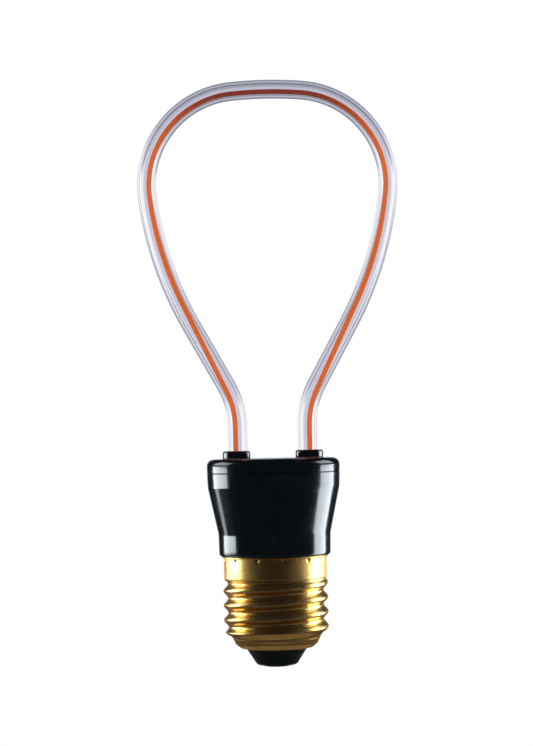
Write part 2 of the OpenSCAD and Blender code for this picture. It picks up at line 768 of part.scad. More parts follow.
// Packaged chips: width, thickness and height, then how far apart their legs are
bridge_rise = 2.7;           // of its middle above the leads' holes
bridge_at = [0, z_lead_hole + bridge_rise];
bridge = [4.7, 2.4, 3.9];
bridge_pitch = 2.5;
chip_rise = 3.6;             // of its middle above the ledge
chip_at = [0, z_ledge + chip_rise];
chip = [4.9, 1.5, 3.9];
chip_leg_pitch = 1.15;
foot = [0.2, 0.4];           // thickness and width of a leg
foot_knee = 0.3;             // from the body to a leg's upright stretch
foot_reach = 0.9;            // from the body to a leg's end
stand_off = 0.1;             // of the body above the legs' soles

// Rows of small blocks: where the lowest is, its size, and the row's pitch
row_count = 3;
row_pitch = 2.2;
resistor_rise = 4;           // of the resistors above the middle of the driver chip
resistor_at = [0, chip_at[1] + resistor_rise];
resistor = [2, 0.55, 1.2];
ceramic_inset = 2.4;         // of the capacitors' middle from the board's edge
ceramic_drop = 1;            // of the lowest below the middle of the driver chip
ceramic_at = [head_w / 2 - ceramic_inset, chip_at[1] - ceramic_drop];
ceramic = [2, 1.2, 1.2];

tab_side_x = fil_x - tab_t / 2 - lead_r - cast_gap;
output_drop = 3.4;           // of the output leads' holes below the board's upper edge
z_output_hole = z_head_top - output_drop;
lead_lap = 1.1;              // of an output lead's end above the tab's

module board_hole(at, r) {
    translate([at[0], board_y - 1, at[1]]) rotate([-90, 0, 0]) cylinder(r = r + leg_gap, h = board_t + 2);
}

module board_outline() {
    polygon([
        [-tail_w / 2, z_tail], [tail_w / 2, z_tail], [tail_w / 2, z_ledge], [head_w / 2, z_ledge],
        [head_w / 2, z_head_top], [-head_w / 2, z_head_top], [-head_w / 2, z_ledge], [-tail_w / 2, z_ledge]
    ]);
}

module driver_board() {
    color(board_green) difference() {
        translate([0, board_back, 0]) rotate([90, 0, 0]) linear_extrude(board_t) board_outline();
        board_hole([0, z_lead_hole], lead_r);
        board_hole([-neutral_x, z_lead_hole], lead_r);
        for (side = [-1, 1]) {
            board_hole([side * tab_side_x, z_output_hole], lead_r);
            board_hole([side * fuse_leg_x, fuse_at[1]], leg_r);
            board_hole([side * can_leg_x, z_can_leg], leg_r);
            board_hole(choke_at + [0, side * choke_pin_z], leg_r);
            board_hole(film_at + [side * film_pin_x, 0], leg_r);
            board_hole(varistor_at + [side * varistor_pin_x, 0], leg_r);
        }
    }
}

// A block on the back of the board, with bent legs on two sides
module packaged_chip(at, size, legs, pitch) {
    side_x = size[0] / 2;
    arm_y = size[1] / 2;
    color(chip_black) translate([at[0], board_back + slip, at[1]]) {
        translate([-side_x, stand_off, -size[2] / 2]) cube(size);
        for (side = [-1, 1], i = [0 : legs - 1])
            on_side(side) translate([0, 0, (i - (legs - 1) / 2) * pitch - foot[1] / 2])
                linear_extrude(foot[1]) polygon([
                    [side_x - foot[0], arm_y], [side_x + foot_knee, arm_y], [side_x + foot_knee, 0],
                    [side_x + foot_reach, 0], [side_x + foot_reach, foot[0]],
                    [side_x + foot_knee + foot[0], foot[0]], [side_x + foot_knee + foot[0], arm_y + foot[0]],
                    [side_x - foot[0], arm_y + foot[0]]
                ]);
    }
}

module bridge_rectifier() {
    packaged_chip(bridge_at, bridge, 2, bridge_pitch);
}

module driver_chip() {
    packaged_chip(chip_at, chip, 4, chip_leg_pitch);
}

// A row of small blocks soldered to the back of the board
module chip_row(at, size) {
    for (i = [0 : row_count - 1])
        translate([at[0] - size[0] / 2, board_back + slip, at[1] + i * row_pitch]) cube(size);
}

module chip_resistors() {
    color(chip_black) chip_row(resistor_at, resistor);
}

module chip_capacitors() {
    color([0.7, 0.55, 0.35]) chip_row(ceramic_at, ceramic);
}

// Smoothing capacitor: a crimped can with a rubber bung, a sleeve and two legs
crimp_z = 1.8;
crimp_half = 0.4;
crimp_depth = 0.35;
can_edge = 0.3;
bung_t = 1.4;
bung_wall = 0.5;
bung_r = can_d / 2 - bung_wall;
sleeve_short = 0.4;    // of the sleeve below the can's top

module smoothing_capacitor() {
    color(tinned) translate([0, can_y, z_can]) rotate_extrude() polygon([
        [0, bung_t], [bung_r, bung_t], [bung_r, 0], [can_d / 2, 0], [can_d / 2, crimp_z - crimp_half],
        [can_d / 2 - crimp_depth, crimp_z], [can_d / 2, crimp_z + crimp_half],
        [can_d / 2, can_l - can_edge], [can_d / 2 - can_edge, can_l], [0, can_l]
    ]);
}

module capacitor_sleeve() {
    color([0.1, 0.15, 0.35]) translate([0, can_y, z_can]) difference() {
        cylinder(d = can_d + 2 * slip + 2 * can_sleeve_t, h = can_l - sleeve_short);
        translate([0, 0, -1]) cylinder(d = can_d + 2 * slip, h = can_l + 2);
    }
}

module capacitor_bung() {
    color(chip_black) translate([0, can_y, z_can]) difference() {
        cylinder(r = bung_r - slip, h = bung_t - slip);
        for (side = [-1, 1]) translate([side * can_leg_x, 0, -1])
            cylinder(r = leg_r + cast_gap, h = bung_t + 2);
    }
}

// A wire that starts at z_start, y0 behind the axis, runs upright to the height of a hole
// in the board, turns and goes through it
module elbow_wire(x, y0, z_start, z_hole, r) {
    below = z_start < z_hole ? 1 : 0;
    translate([x, y0, z_hole]) mirror([0, 0, below]) {
        translate([0, 0, elbow_r]) cylinder(r = r, h = abs(z_start - z_hole) - elbow_r);
        translate([0, elbow_r, elbow_r]) rotate([90, 0, 90]) rotate([0, 0, 180])
            rotate_extrude(angle = 90) translate([elbow_r, 0]) circle(r);
        translate([0, elbow_r, 0]) rotate([-90, 0, 0]) cylinder(r = r, h = leg_end_y - y0 - elbow_r);
    }
}

module capacitor_legs() {
    color(tinned) for (side = [-1, 1])
        elbow_wire(side * can_leg_x, can_y, z_can + bung_t - slip, z_can_leg, leg_r);
}

// Choke: a drum core on the board, and its winding between the flanges
module choke_core() {
    color(chip_black) translate([choke_at[0], choke_y, choke_at[1]]) rotate([-90, 0, 0]) {
        cylinder(d = choke_d, h = choke_flange_t);
        cylinder(d = choke_hub_d, h = choke_l);
        translate([0, 0, choke_l - choke_flange_t]) cylinder(d = choke_d, h = choke_flange_t);
        for (side = [-1, 1]) translate([0, side * choke_pin_z, choke_l - choke_flange_t / 2])
            cylinder(r = leg_r, h = leg_end_y - choke_y - choke_l + choke_flange_t / 2);
    }
}

// Outline of the winding: a half round at each turn of the outer layer
module choke_winding() {
    room = choke_l - 2 * choke_flange_t - 2 * slip;
    turns = floor(room / choke_wire_d);
    pitch = room / turns;
    outer = choke_d / 2 - choke_dip;
    crest = [for (i = [0 : turns - 1], a = [30, 90, 150])
        [outer + pitch / 2 * sin(a), pitch * (i + 0.5) - pitch / 2 * cos(a)]];
    base = choke_hub_d / 2 + slip;
    color(copper) translate([choke_at[0], choke_y + choke_flange_t + slip, choke_at[1]]) rotate([-90, 0, 0])
        rotate_extrude() polygon(concat([[base, 0], [outer, 0]], crest, [[outer, room], [base, room]]));
}

module film_capacitor() {
    color([0.75, 0.3, 0.15]) translate([film_at[0], film_y, film_at[1]]) {
        translate([-film_w / 2, 0, -film_h / 2]) cube([film_w, film_t, film_h]);
        for (side = [-1, 1]) translate([side * film_pin_x, film_t / 2, 0]) rotate([-90, 0, 0])
            cylinder(r = leg_r, h = leg_end_y - film_y - film_t / 2);
    }
}

// Varistor: a disc against the back of the board, with its legs through it toward the front
module varistor() {
    color([0.2, 0.35, 0.6]) translate([varistor_at[0], varistor_y, varistor_at[1]]) {
        rotate([-90, 0, 0]) cylinder(d = varistor_d, h = varistor_t);
        for (side = [-1, 1]) translate([side * varistor_pin_x, varistor_t / 2, 0]) rotate([90, 0, 0])
            cylinder(r = leg_r, h = varistor_t / 2 + part_gap + board_t + pin_end);
    }
}

// Fusible resistor: body, end caps and legs, in a heat-shrunk sleeve
fuse_cap_l = 1.2;
fuse_cap_t = 0.15;
root_lap = 0.1;      // of a leg into its cap
sleeve_over = 0.3;   // of the sleeve past each end of the body

module fuse_resistor() {
    color([0.55, 0.7, 0.6]) translate([0, fuse_y, fuse_at[1]]) {
        rotate([0, 90, 0]) cylinder(d = fuse_d - 2 * fuse_cap_t, h = fuse_l, center = true);
        for (side = [-1, 1]) on_side(side) {
            translate([fuse_l / 2 - fuse_cap_l, 0, 0]) rotate([0, 90, 0])
                cylinder(d = fuse_d, h = fuse_cap_l);
            translate([fuse_l / 2 - root_lap, 0, 0]) rotate([0, 90, 0])
                cylinder(r = leg_r, h = fuse_leg_x - elbow_r - fuse_l / 2 + root_lap);
            translate([fuse_leg_x - elbow_r, elbow_r, 0]) rotate([0, 0, -90])
                rotate_extrude(angle = 90) translate([elbow_r, 0]) circle(leg_r);
            translate([fuse_leg_x, elbow_r, 0]) rotate([-90, 0, 0])
                cylinder(r = leg_r, h = leg_end_y - fuse_y - elbow_r);
        }
    }
}

module fuse_sleeve() {
    color([0.15, 0.15, 0.16]) translate([0, fuse_y, fuse_at[1]]) rotate([0, 90, 0]) difference() {
        cylinder(d = fuse_d + 2 * sleeve_t, h = fuse_l + 2 * sleeve_over, center = true);
        cylinder(d = fuse_d + 2 * slip, h = fuse_l + 2, center = true);
    }
}

module live_lead() {
    color("firebrick") elbow_wire(0, 0, z_solder + cast_gap, z_lead_hole, lead_r);
}

// Neutral lead: out of the board, down, and folded round the spigot's lower edge up to the brass
fold_drop = 0.6;      // of the fold below the spigot
fold_rise = 3.4;      // of the lead's end above the spigot's lower edge
notch_room = 0.2;     // on each side of the lead in its notch
z_fold = z_spigot - fold_drop;
fold_x = root_r - sheet_t - slip - lead_r;
z_fold_top = z_spigot + fold_rise;

// A quarter bend of wire in the XZ plane round c, starting at an angle from +X toward +Z
module wire_bend(c, from) {
    translate([c[0], 0, c[1]]) rotate([90, 0, 0]) rotate([0, 0, from])
        rotate_extrude(angle = 90) translate([elbow_r, 0]) circle(lead_r);
}

module neutral_lead() {
    across = fold_x - neutral_x - 2 * elbow_r;
    color("navy") mirror([1, 0, 0]) {
        elbow_wire(neutral_x, 0, z_fold + elbow_r, z_lead_hole, lead_r);
        wire_bend([neutral_x + elbow_r, z_fold + elbow_r], 180);
        translate([neutral_x + elbow_r, 0, z_fold]) rotate([0, 90, 0]) cylinder(r = lead_r, h = across);
        wire_bend([fold_x - elbow_r, z_fold + elbow_r], 270);
        translate([fold_x, 0, z_fold + elbow_r]) cylinder(r = lead_r, h = z_fold_top - z_fold - elbow_r);
    }
}

// The notch in the spigot's outer face that the neutral lead lies in
module neutral_notch() {
    w = lead_d + 2 * notch_room;
    translate([-spigot_r - 1, -w / 2, z_spigot - 1])
        cube([spigot_r + 1 - fold_x + lead_r + notch_room, w, fold_rise + 1 + 2 * notch_room]);
}

module output_lead() {
    color("firebrick") elbow_wire(tab_side_x, 0, z_tab + lead_lap, z_output_hole, lead_r);
}

// A piece of the right side, and its mirror image on the left
module left() {
    mirror([1, 0, 0]) children();
}

glass_tube();
filament_coating();
filament_strip();
led_chips();
left() end_tab();  // left_end_tab
end_tab();  // right_end_tab
left() tube_plug();  // left_tube_plug
tube_plug();  // right_tube_plug
left() sealant();  // left_sealant
sealant();  // right_sealant
left() collar();  // left_collar
collar();  // right_collar
left() gasket();  // left_gasket
gasket();  // right_gasket
housing_lid();
housing_body();
screw_shell();
cap_insulator();
centre_contact();
contact_solder();
driver_board();
bridge_rectifier();
driver_chip();
smoothing_capacitor();
capacitor_sleeve();
capacitor_bung();
capacitor_legs();
choke_core();
choke_winding();
film_capacitor();
varistor();
chip_resistors();
chip_capacitors();
fuse_resistor();
fuse_sleeve();
live_lead();
neutral_lead();
left() output_lead();  // left_output_lead
output_lead();  // right_output_lead
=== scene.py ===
"""Looks of the LED lamp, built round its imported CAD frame: every new piece is a numpy surface."""
import math

import bmesh
import bpy
import numpy as np
from bpy.props import FloatProperty, FloatVectorProperty, IntProperty, PointerProperty
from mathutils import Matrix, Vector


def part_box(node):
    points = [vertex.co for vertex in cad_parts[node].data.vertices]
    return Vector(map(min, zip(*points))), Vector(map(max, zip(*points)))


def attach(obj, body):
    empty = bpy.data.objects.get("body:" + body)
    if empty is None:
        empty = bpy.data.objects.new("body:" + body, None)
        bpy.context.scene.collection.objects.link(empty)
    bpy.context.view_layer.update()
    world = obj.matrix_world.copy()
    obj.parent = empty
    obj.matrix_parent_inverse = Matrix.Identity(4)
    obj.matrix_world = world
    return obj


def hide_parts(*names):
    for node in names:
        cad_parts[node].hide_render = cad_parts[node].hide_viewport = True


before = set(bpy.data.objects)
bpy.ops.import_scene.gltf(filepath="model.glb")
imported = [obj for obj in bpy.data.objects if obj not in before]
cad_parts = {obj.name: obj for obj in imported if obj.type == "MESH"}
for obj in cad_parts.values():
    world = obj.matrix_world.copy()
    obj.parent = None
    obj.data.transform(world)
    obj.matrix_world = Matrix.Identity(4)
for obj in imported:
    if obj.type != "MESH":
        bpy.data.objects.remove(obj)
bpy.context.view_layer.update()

bl_info = {
    "name": "LED loop lamp",
    "version": (1, 0, 0),
    "blender": (4, 5, 0),
    "location": "3D View > Sidebar > Lamp",
    "description": "Builds the bent glass tube, filament, housing and screw cap of an LED lamp",
    "category": "Object",
}

BODY = "root"
FIT_GAP = 0.00005  # gap between pieces that fit into each other
SHARP = 35.0  # degrees past which an edge stays sharp

# Collections that say which pieces a softbox lights. The glass takes its look from the studio
# alone, and the lid has a lower pair of softboxes, because tall ones make its whole top pale.
NOT_GLASS = "all_but_glass"
NOT_GLASS_OR_LID = "all_but_glass_and_lid"
LID_ALONE = "lid_alone"


# Sizes and colours that a user would change

def length(name, default, description):
    """A length in metres, shown in the scene's unit."""
    return FloatProperty(
        name=name, description=description, default=default, unit="LENGTH", precision=5)


def angle(name, degrees, description):
    """An angle, shown in degrees."""
    return FloatProperty(
        name=name, description=description, default=math.radians(degrees), unit="ROTATION")


def number(name, default, description):
    """A plain number, zero or more."""
    return FloatProperty(name=name, description=description, default=default, min=0.0)


def colour(name, default, description):
    """A colour in linear light."""
    return FloatVectorProperty(
        name=name, description=description, default=default, subtype="COLOR", size=3,
        min=0.0, max=1.0)


def low(node):
    """Height of a CAD node's lowest point."""
    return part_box(node)[0].z


def high(node):
    """Height of a CAD node's highest point."""
    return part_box(node)[1].z


def middle_x(node):
    """Middle of a CAD node across the lamp."""
    lowest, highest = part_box(node)
    return (lowest.x + highest.x) / 2


class LoopSizes(bpy.types.PropertyGroup):
    """The bent glass tube."""
    top: length("Top", 0.1465, "Height of the top of the glass above the contact")
    width: length("Width", 0.0651, "Width of the loop over the glass")
    tube: length("Tube diameter", 0.0047, "Outside diameter of the glass")
    bore: length("Bore", 0.0026, "Inside diameter of the glass")
    leg: length("Leg", 0.0087, "Distance of each leg from the lamp's axis")
    foot: length("Foot", low("glass_tube"), "Height of the tube's two ends")
    bend: length("First bend", high("left_collar") + 0.006, "Height where the legs flare out")
    flare: length("Flare radius", 0.022, "Bend radius where each leg flares out")
    flare_over: angle("Flare", 8.7, "Lean of the flare past the line from it to the shoulder")
    sweep: angle("Sweep end", 6.6, "Lean of the tube where the side sweep becomes the shoulder")
    shoulder: length("Shoulder radius", 0.0235, "Bend radius of each shoulder")
    crown: length("Crown radius", 0.1, "Bend radius of the crown")
    step: length("Step", 0.0009, "Distance between the rings of the swept surfaces")


class FilamentSizes(bpy.types.PropertyGroup):
    """The coated filament in the bore."""
    coat: length("Coating diameter", 0.00125, "Diameter of the phosphor silicone")
    gap: length("Gap", 0.00008, "Gap between the coating and the bore that it hugs")
    foot: length("Foot", low("filament_coating"), "Height of the coating's two ends")
    chip_pitch: length("Chip pitch", 0.003, "Distance from chip to chip under the silicone")


class HousingSizes(bpy.types.PropertyGroup):
    """The black housing and its lid."""
    neck: length("Neck radius", 0.0139, "Radius of the neck above the brass")
    neck_draft: length("Neck draft", 0.00012, "How much wider the neck is at its top")
    belt: length("Belt radius", 0.01645, "Radius above the flare")
    lid: length("Lid radius", 0.0166, "Radius at the seam and of the lid")
    neck_foot: length("Neck foot", high("screw_shell"), "Height of the neck's lower edge")
    flare_foot: length("Flare foot", 0.0332, "Height of the flare's lower edge")
    flare_top: length("Flare top", 0.0447, "Height of the flare's upper edge")
    seam: length("Seam", high("housing_body"), "Height of the seam under the lid")
    seam_bevel: length("Seam bevel", 0.00015, "Bevel of the two edges that meet at the seam")
    lid_top: length("Lid top", high("housing_lid"), "Height of the lid's upper face")
    lid_edge: length("Lid edge radius", 0.0017, "Rounding of the lid's upper edge")
    lid_wall: length("Lid wall", 0.0018, "Thickness of the lid's top")
    foot_edge: length("Foot edge radius", 0.0008, "Rounding of the neck's lower edge")
    soft_edge: length("Soft edge radius", 0.003, "Rounding of the edges below and above the flare")
    wall: length("Wall", 0.00155, "Wall of the housing")
    spigot: length("Spigot radius", 0.01145, "Radius of the spigot inside the brass")
    spigot_bore: length("Spigot bore", 0.01, "Radius of the spigot's bore")
    spigot_foot: length("Spigot foot", low("housing_body"), "Height of the spigot's lower edge")
    collar: length("Collar radius", 0.00345, "Outside radius of each collar")
    collar_bore: length("Collar bore", 0.00285, "Radius of the hole in each collar")
    collar_edge: length("Collar edge radius", 0.00055, "Rounding of each collar's upper edge")


class CapSizes(bpy.types.PropertyGroup):
    """The brass screw cap, its insulator and its contact."""
    crest: length("Crest radius", 0.0131, "Radius over the thread crests")
    depth: length("Thread depth", 0.00115, "Depth of the thread")
    pitch: length("Pitch", 0.003629, "Pitch of the thread")
    first_crest: length("First crest", 0.0029, "Height of the first crest over the nose, at +X")
    thread_foot: length("Thread foot", 0.007, "Height where the nose becomes the thread")
    thread_top: length("Thread top", 0.0223, "Height where the thread becomes the skirt")
    run_in: length("Run-in", 0.002, "Height over which the thread grows out of the nose")
    run_out: length("Run-out", 0.0012, "Height over which the thread fades into the skirt")
    skirt: length("Skirt radius", 0.0128, "Radius of the plain skirt")
    lip: length("Lip radius", 0.01325, "Radius of the lip under the housing")
    lip_height: length("Lip height", 0.0004, "Thickness of the lip")
    nose: length("Nose radius", 0.011, "Radius of the nose at its widest")
    nose_rounding: length("Nose rounding", 0.00355, "Radius of the nose's rounding")
    nose_ripple: length("Nose ripple", 0.0001, "Depth of the ripples spun into the nose")
    nose_foot: length("Nose foot", 0.00435, "Height of the brass's lower end")
    sheet: length("Sheet", 0.00035, "Thickness of the brass")
    punches: IntProperty(
        name="Punch marks", description="Punch marks that lock the brass", default=12, min=1)
    punch_height: length("Punch height", 0.00058, "Half the height of each punch mark")
    punch_width: length("Punch width", 0.0005, "Half the width of each punch mark")
    punch_depth: length("Punch depth", 0.00032, "Depth of each punch mark")
    cone_low: length("Cone lower radius", 0.0051, "Radius of the insulator above the contact")
    contact: length("Contact radius", 0.0048, "Radius of the contact")
    contact_flat: length("Contact flat radius", 0.0028, "Radius of the contact's flat face")
    stem: length("Stem radius", 0.0013, "Radius of the contact's hollow stem")


class Finishes(bpy.types.PropertyGroup):
    """Colours and gloss of what shows."""
    glass: colour("Glass", (0.985, 0.99, 1.0), "Tint of the clear glass")
    silicone: colour("Phosphor silicone", (0.96, 0.16, 0.002), "Orange of the coated filament")
    # Painted shade: the darker red given to the crown of the filament, where less light reaches it
    silicone_crown_shade: colour(
        "Phosphor silicone, bent", (0.27, 0.034, 0.011), "Darker red where the crown bends it")
    # Painted light: the filament glows in its own orange, standing in for light that the glass
    # keeps from it
    silicone_painted_glow: number("Phosphor glow", 0.42, "How much the phosphor brightens itself")
    plastic: colour("Black plastic", (0.003, 0.0048, 0.0056), "Black of the housing")
    plastic_dust: colour(
        "Black plastic, worn", (0.0065, 0.0105, 0.0125), "Where the black is handled or dusty")
    plastic_gloss: number("Plastic roughness", 0.15, "Roughness of the housing")
    plastic_coat: number("Plastic polish", 0.2, "Weight of the polished skin on the housing")
    insulator_gloss: number("Insulator roughness", 0.27, "Roughness of the matt insulator")
    brass: colour("Brass", (0.97, 0.63, 0.21), "Bright brass of the cap")
    brass_deep: colour("Brass, toned", (0.88, 0.46, 0.1), "Brass that has toned")
    brass_gloss: number("Brass roughness", 0.36, "Roughness of the brass skirt")
    thread_gloss: number("Thread roughness", 0.25, "Roughness of the rolled thread")
    # Painted shade: the contact's metal is darkened to look as dark as the shade under the cap
    contact: colour("Contact", (0.2, 0.15, 0.1), "Toned metal of the contact")
    gasket: colour("Gasket", (0.16, 0.035, 0.018), "Red-brown of the gaskets")


class StageSettings(bpy.types.PropertyGroup):
    """Camera, lamps and floor."""
    distance: length("Camera distance", 0.595, "Distance of the camera from the lamp's axis")
    eye: length("Camera height", 0.058, "Height of the camera")
    aim: length("Aim", 0.0732, "Height in the middle of the picture")
    side: length("Side", -0.0015, "Distance of the picture's middle from the lamp's axis")
    tall: length("View", 0.1865, "Height of the view at the lamp's axis")
    roll: angle("Roll", 1.2, "Roll of the camera")
    box_light: number("Softbox", 9.0, "Radiance of the softboxes at the two sides")
    edge_light: number("Edge light", 3.6, "Radiance of the weaker boxes above and below them")
    fill_light: number("Fill", 4.0, "Radiance of the plain light in front, which no gloss shows")
    floor: length("Floor", 0.075, "Radius of the floor")


GROUPS = {
    "lamp_loop": LoopSizes,
    "lamp_filament": FilamentSizes,
    "lamp_housing": HousingSizes,
    "lamp_cap": CapSizes,
    "lamp_finish": Finishes,
    "lamp_stage": StageSettings,
}


# Meshes

def make_piece(name, points, faces, sharp=SHARP, uv=None):
    """An object from an array of points and one of faces with four corners each. Corners that
    coincide are merged, so poles and seams close, and edges sharper than the angle stay sharp."""
    mesh = bpy.data.meshes.new(name)
    mesh.vertices.add(len(points))
    mesh.vertices.foreach_set("co", points.astype(np.float32).ravel())
    mesh.loops.add(faces.size)
    mesh.loops.foreach_set("vertex_index", faces.ravel().astype(np.int32))
    mesh.polygons.add(len(faces))
    starts = np.arange(0, faces.size, faces.shape[1], dtype=np.int32)
    mesh.polygons.foreach_set("loop_start", starts)
    mesh.update(calc_edges=True)
    if uv is not None:
        layer = mesh.uv_layers.new(name="along")
        layer.data.foreach_set("uv", uv[faces.ravel()].astype(np.float32).ravel())
    shape = bmesh.new()
    shape.from_mesh(mesh)
    bmesh.ops.remove_doubles(shape, verts=shape.verts, dist=1e-7)
    shape.to_mesh(mesh)
    shape.free()
    mesh.shade_smooth()
    mesh.set_sharp_from_angle(angle=math.radians(sharp))
    piece = bpy.data.objects.new(name, mesh)
    bpy.context.scene.collection.objects.link(piece)
    return piece


def grid_faces(rows, columns, close=False):
    """Faces between neighbouring points of a grid; close joins the last row to the first. The
    columns always run round and close."""
    row = np.arange(rows if close else rows - 1)[:, None]
    column = np.arange(columns)[None, :]
    below, above = row * columns, (row + 1) % rows * columns
    right = (column + 1) % columns
    corners = (below + column, below + right, above + right, above + column)
    return np.stack(corners, -1).reshape(-1, 4)


def cut(piece, cutter):
    """Takes the cutter away from the piece, and drops the cutter and the uncut mesh."""
    hole = piece.modifiers.new("hole", "BOOLEAN")
    hole.operation, hole.solver, hole.object = "DIFFERENCE", "EXACT", cutter
    shown = piece.evaluated_get(bpy.context.evaluated_depsgraph_get())
    mesh = bpy.data.meshes.new_from_object(shown)
    piece.modifiers.clear()
    spent = (piece.data, cutter.data)
    piece.data = mesh
    mesh.set_sharp_from_angle(angle=math.radians(SHARP))
    bpy.data.objects.remove(cutter)
    for old in spent:
        bpy.data.meshes.remove(old)


def revolve(name, profile, sides=192, centre=0.0, sharp=SHARP):
    """The closed profile of radius r and height z turned once round a vertical axis:
    x = centre + r cos a, y = r sin a. The profile runs with the solid on its left."""
    a = np.arange(sides) * 2 * np.pi / sides
    r, z = profile[:, 0][:, None], profile[:, 1][:, None]
    points = np.stack((centre + r * np.cos(a), r * np.sin(a), z + 0 * a), -1).reshape(-1, 3)
    return make_piece(name, points, grid_faces(len(profile), sides, close=True), sharp)


def soften(outline, steps=8):
    """A closed outline from rows of r, z and rounding: each corner becomes an arc that touches
    both of its sides at rounding / tan(half the corner's angle) from it."""
    corners, radii = np.split(np.asarray(outline, float), (2,), 1)
    before, after = np.roll(corners, 1, 0) - corners, np.roll(corners, -1, 0) - corners
    rows = []
    for corner, radius, u, v in zip(corners, radii[:, 0], before, after):
        if radius == 0:
            rows.append(corner[None])
            continue
        u, v = u / np.linalg.norm(u), v / np.linalg.norm(v)
        half = np.arccos(np.clip(u @ v, -1, 1)) / 2
        centre = corner + (u + v) / np.linalg.norm(u + v) * radius / np.sin(half)
        start = corner + u * radius / np.tan(half) - centre
        turn = -np.sign(u[0] * v[1] - u[1] * v[0]) * (np.pi - 2 * half)
        a = np.linspace(0, turn, steps + 1)
        rows.append(centre + np.stack((
            start[0] * np.cos(a) - start[1] * np.sin(a),
            start[0] * np.sin(a) + start[1] * np.cos(a)), -1))
    return np.concatenate(rows)


def divide(outline, longest):
    """The closed outline with points added on its straights, so that no side is longer than
    longest."""
    rows = []
    for p, q in zip(outline, np.roll(outline, -1, 0)):
        n = max(1, math.ceil(np.linalg.norm(q - p) / longest))
        rows.append(p + (q - p) * (np.arange(n) / n)[:, None])
    return np.concatenate(rows)


# The bent path

class Loop:
    """The path of the glass: on each side a straight leg, a flare, a sweep, a shoulder and half the
    crown, each an arc that touches the next."""

    def __init__(self, sizes):
        self.sizes = s = sizes
        half_w = (s.width - s.tube) / 2
        apex = s.top - s.tube / 2
        self.crown_turn = math.acos((half_w - s.shoulder) / (s.crown - s.shoulder))
        rise = math.sin(self.crown_turn)
        widest = apex - s.shoulder * rise - s.crown * (1 - rise)
        start = np.array((half_w - s.shoulder * (1 - math.cos(s.sweep)),
                          widest - s.shoulder * math.sin(s.sweep)))
        lean = s.flare_over + math.atan2(start[0] - s.leg, start[1] - s.bend)
        run_x = start[0] - s.leg - s.flare * (1 - math.cos(lean))
        run_z = start[1] - s.bend - s.flare * math.sin(lean)
        offset = run_z * math.sin(lean) - run_x * math.cos(lean)
        self.side = offset / (1 - math.cos(lean - s.sweep))
        self.flare_c = np.array((s.leg + s.flare, s.bend))
        self.side_c = start + self.side * np.array((-math.cos(s.sweep), math.sin(s.sweep)))
        self.shoulder_c = np.array((half_w - s.shoulder, widest))
        self.crown_c = np.array((0.0, apex - s.crown))

    def stations(self, offset, foot):
        """Rows of x, z and lean along the path that lies offset inside every bend, from the foot
        of the right leg over the crown to the left one. The lean is the path's angle to the
        upright. On an arc round c: x = cx + R cos lean, z = cz - R sin lean."""
        s = self.sizes
        turn = s.flare + self.side - 2 * offset
        gap = self.side_c - self.flare_c
        straight = math.sqrt(max(0.0, gap @ gap - turn ** 2))
        lean = math.atan2(gap[0], gap[1]) + math.atan2(turn, straight)
        tall = s.bend - foot
        n = math.ceil(tall / s.step)
        legs = np.arange(n) / n
        rows = [np.stack((s.leg + offset + 0 * legs, foot + tall * legs, 0 * legs), -1)]
        bends = (
            (self.flare_c, -(s.flare - offset), 0.0, lean),
            (self.side_c, self.side - offset, lean, s.sweep),
            (self.shoulder_c, s.shoulder - offset, s.sweep, -self.crown_turn),
            (self.crown_c, s.crown - offset, -self.crown_turn, -math.pi / 2),
        )
        for c, r, start, end in bends:
            n = math.ceil(abs(r * (end - start)) / s.step)
            a = start + (end - start) * np.arange(n) / n
            rows.append(np.stack((c[0] + r * np.cos(a), c[1] - r * np.sin(a), a), -1))
        half = np.concatenate(rows)
        top = np.array(((0.0, self.crown_c[1] + s.crown - offset, -math.pi / 2),))
        left = half[::-1] * (-1, 1, -1) + (0, 0, -math.pi)
        return np.concatenate((half, top, left))


def sweep_surface(stations, diameter, sides):
    """A round outline carried along the stations: a point at (u, v) of the outline goes to
    x + u cos lean, v, z - u sin lean, where u points out of the loop."""
    x, z, lean = (stations[:, i][:, None] for i in range(3))
    a = np.arange(sides) * 2 * np.pi / sides
    u, v = diameter / 2 * np.cos(a), diameter / 2 * np.sin(a)
    return np.stack((x + u * np.cos(lean), v + 0 * x, z - u * np.sin(lean)), -1).reshape(-1, 3)


def sweep_uv(stations, sides):
    """Distance along the stations in metres, and the share of the way round."""
    steps = np.linalg.norm(np.diff(stations[:, :2], axis=0), axis=1)
    along = np.concatenate(((0.0,), np.cumsum(steps)))
    around = np.arange(sides) / sides
    return np.stack(np.broadcast_arrays(along[:, None], around[None, :]), -1).reshape(-1, 2)


# The brass shell

def ease(x):
    """A smooth step, 3 x^2 - 2 x^3, held at 0 below it and at 1 above."""
    x = np.clip(x, 0, 1)
    return x * x * (3 - 2 * x)


def nose_outline(s, rows):
    """Radii and heights of the nose, from its lower end up to the thread: an arc whose radius
    dips three times by the ripple."""
    centre_r, centre_z = s.nose - s.nose_rounding, s.nose_foot + s.nose_rounding
    rise = math.asin((centre_z - s.thread_foot) / s.nose_rounding)
    turn = np.linspace(math.radians(-89.0), -rise, rows)
    waves = np.cos(np.linspace(0, 6 * np.pi, rows))
    spun = s.nose_rounding - s.nose_ripple * (1 - waves) / 2
    return centre_r + spun * np.cos(turn), centre_z + spun * np.sin(turn)


def thread_radius(s, waist, z, a):
    """The radius at the angle a between the nose, whose top has the radius waist, and the skirt:
    waist + (root - waist) foot + depth (1 + cos(2 pi (z - crest) / pitch - a)) / 2 times foot,
    where foot fades the thread in above the nose, and it fades to the skirt's radius at the top."""
    foot = ease((z - s.thread_foot) / s.run_in)
    head = ease((s.thread_top - z) / s.run_out)
    core = waist + (s.crest - s.depth - waist) * foot
    crest = s.thread_foot + s.first_crest
    ridge = s.depth * (1 + np.cos(2 * np.pi * (z - crest) / s.pitch - a)) / 2
    return s.skirt + (core + ridge * foot - s.skirt) * head


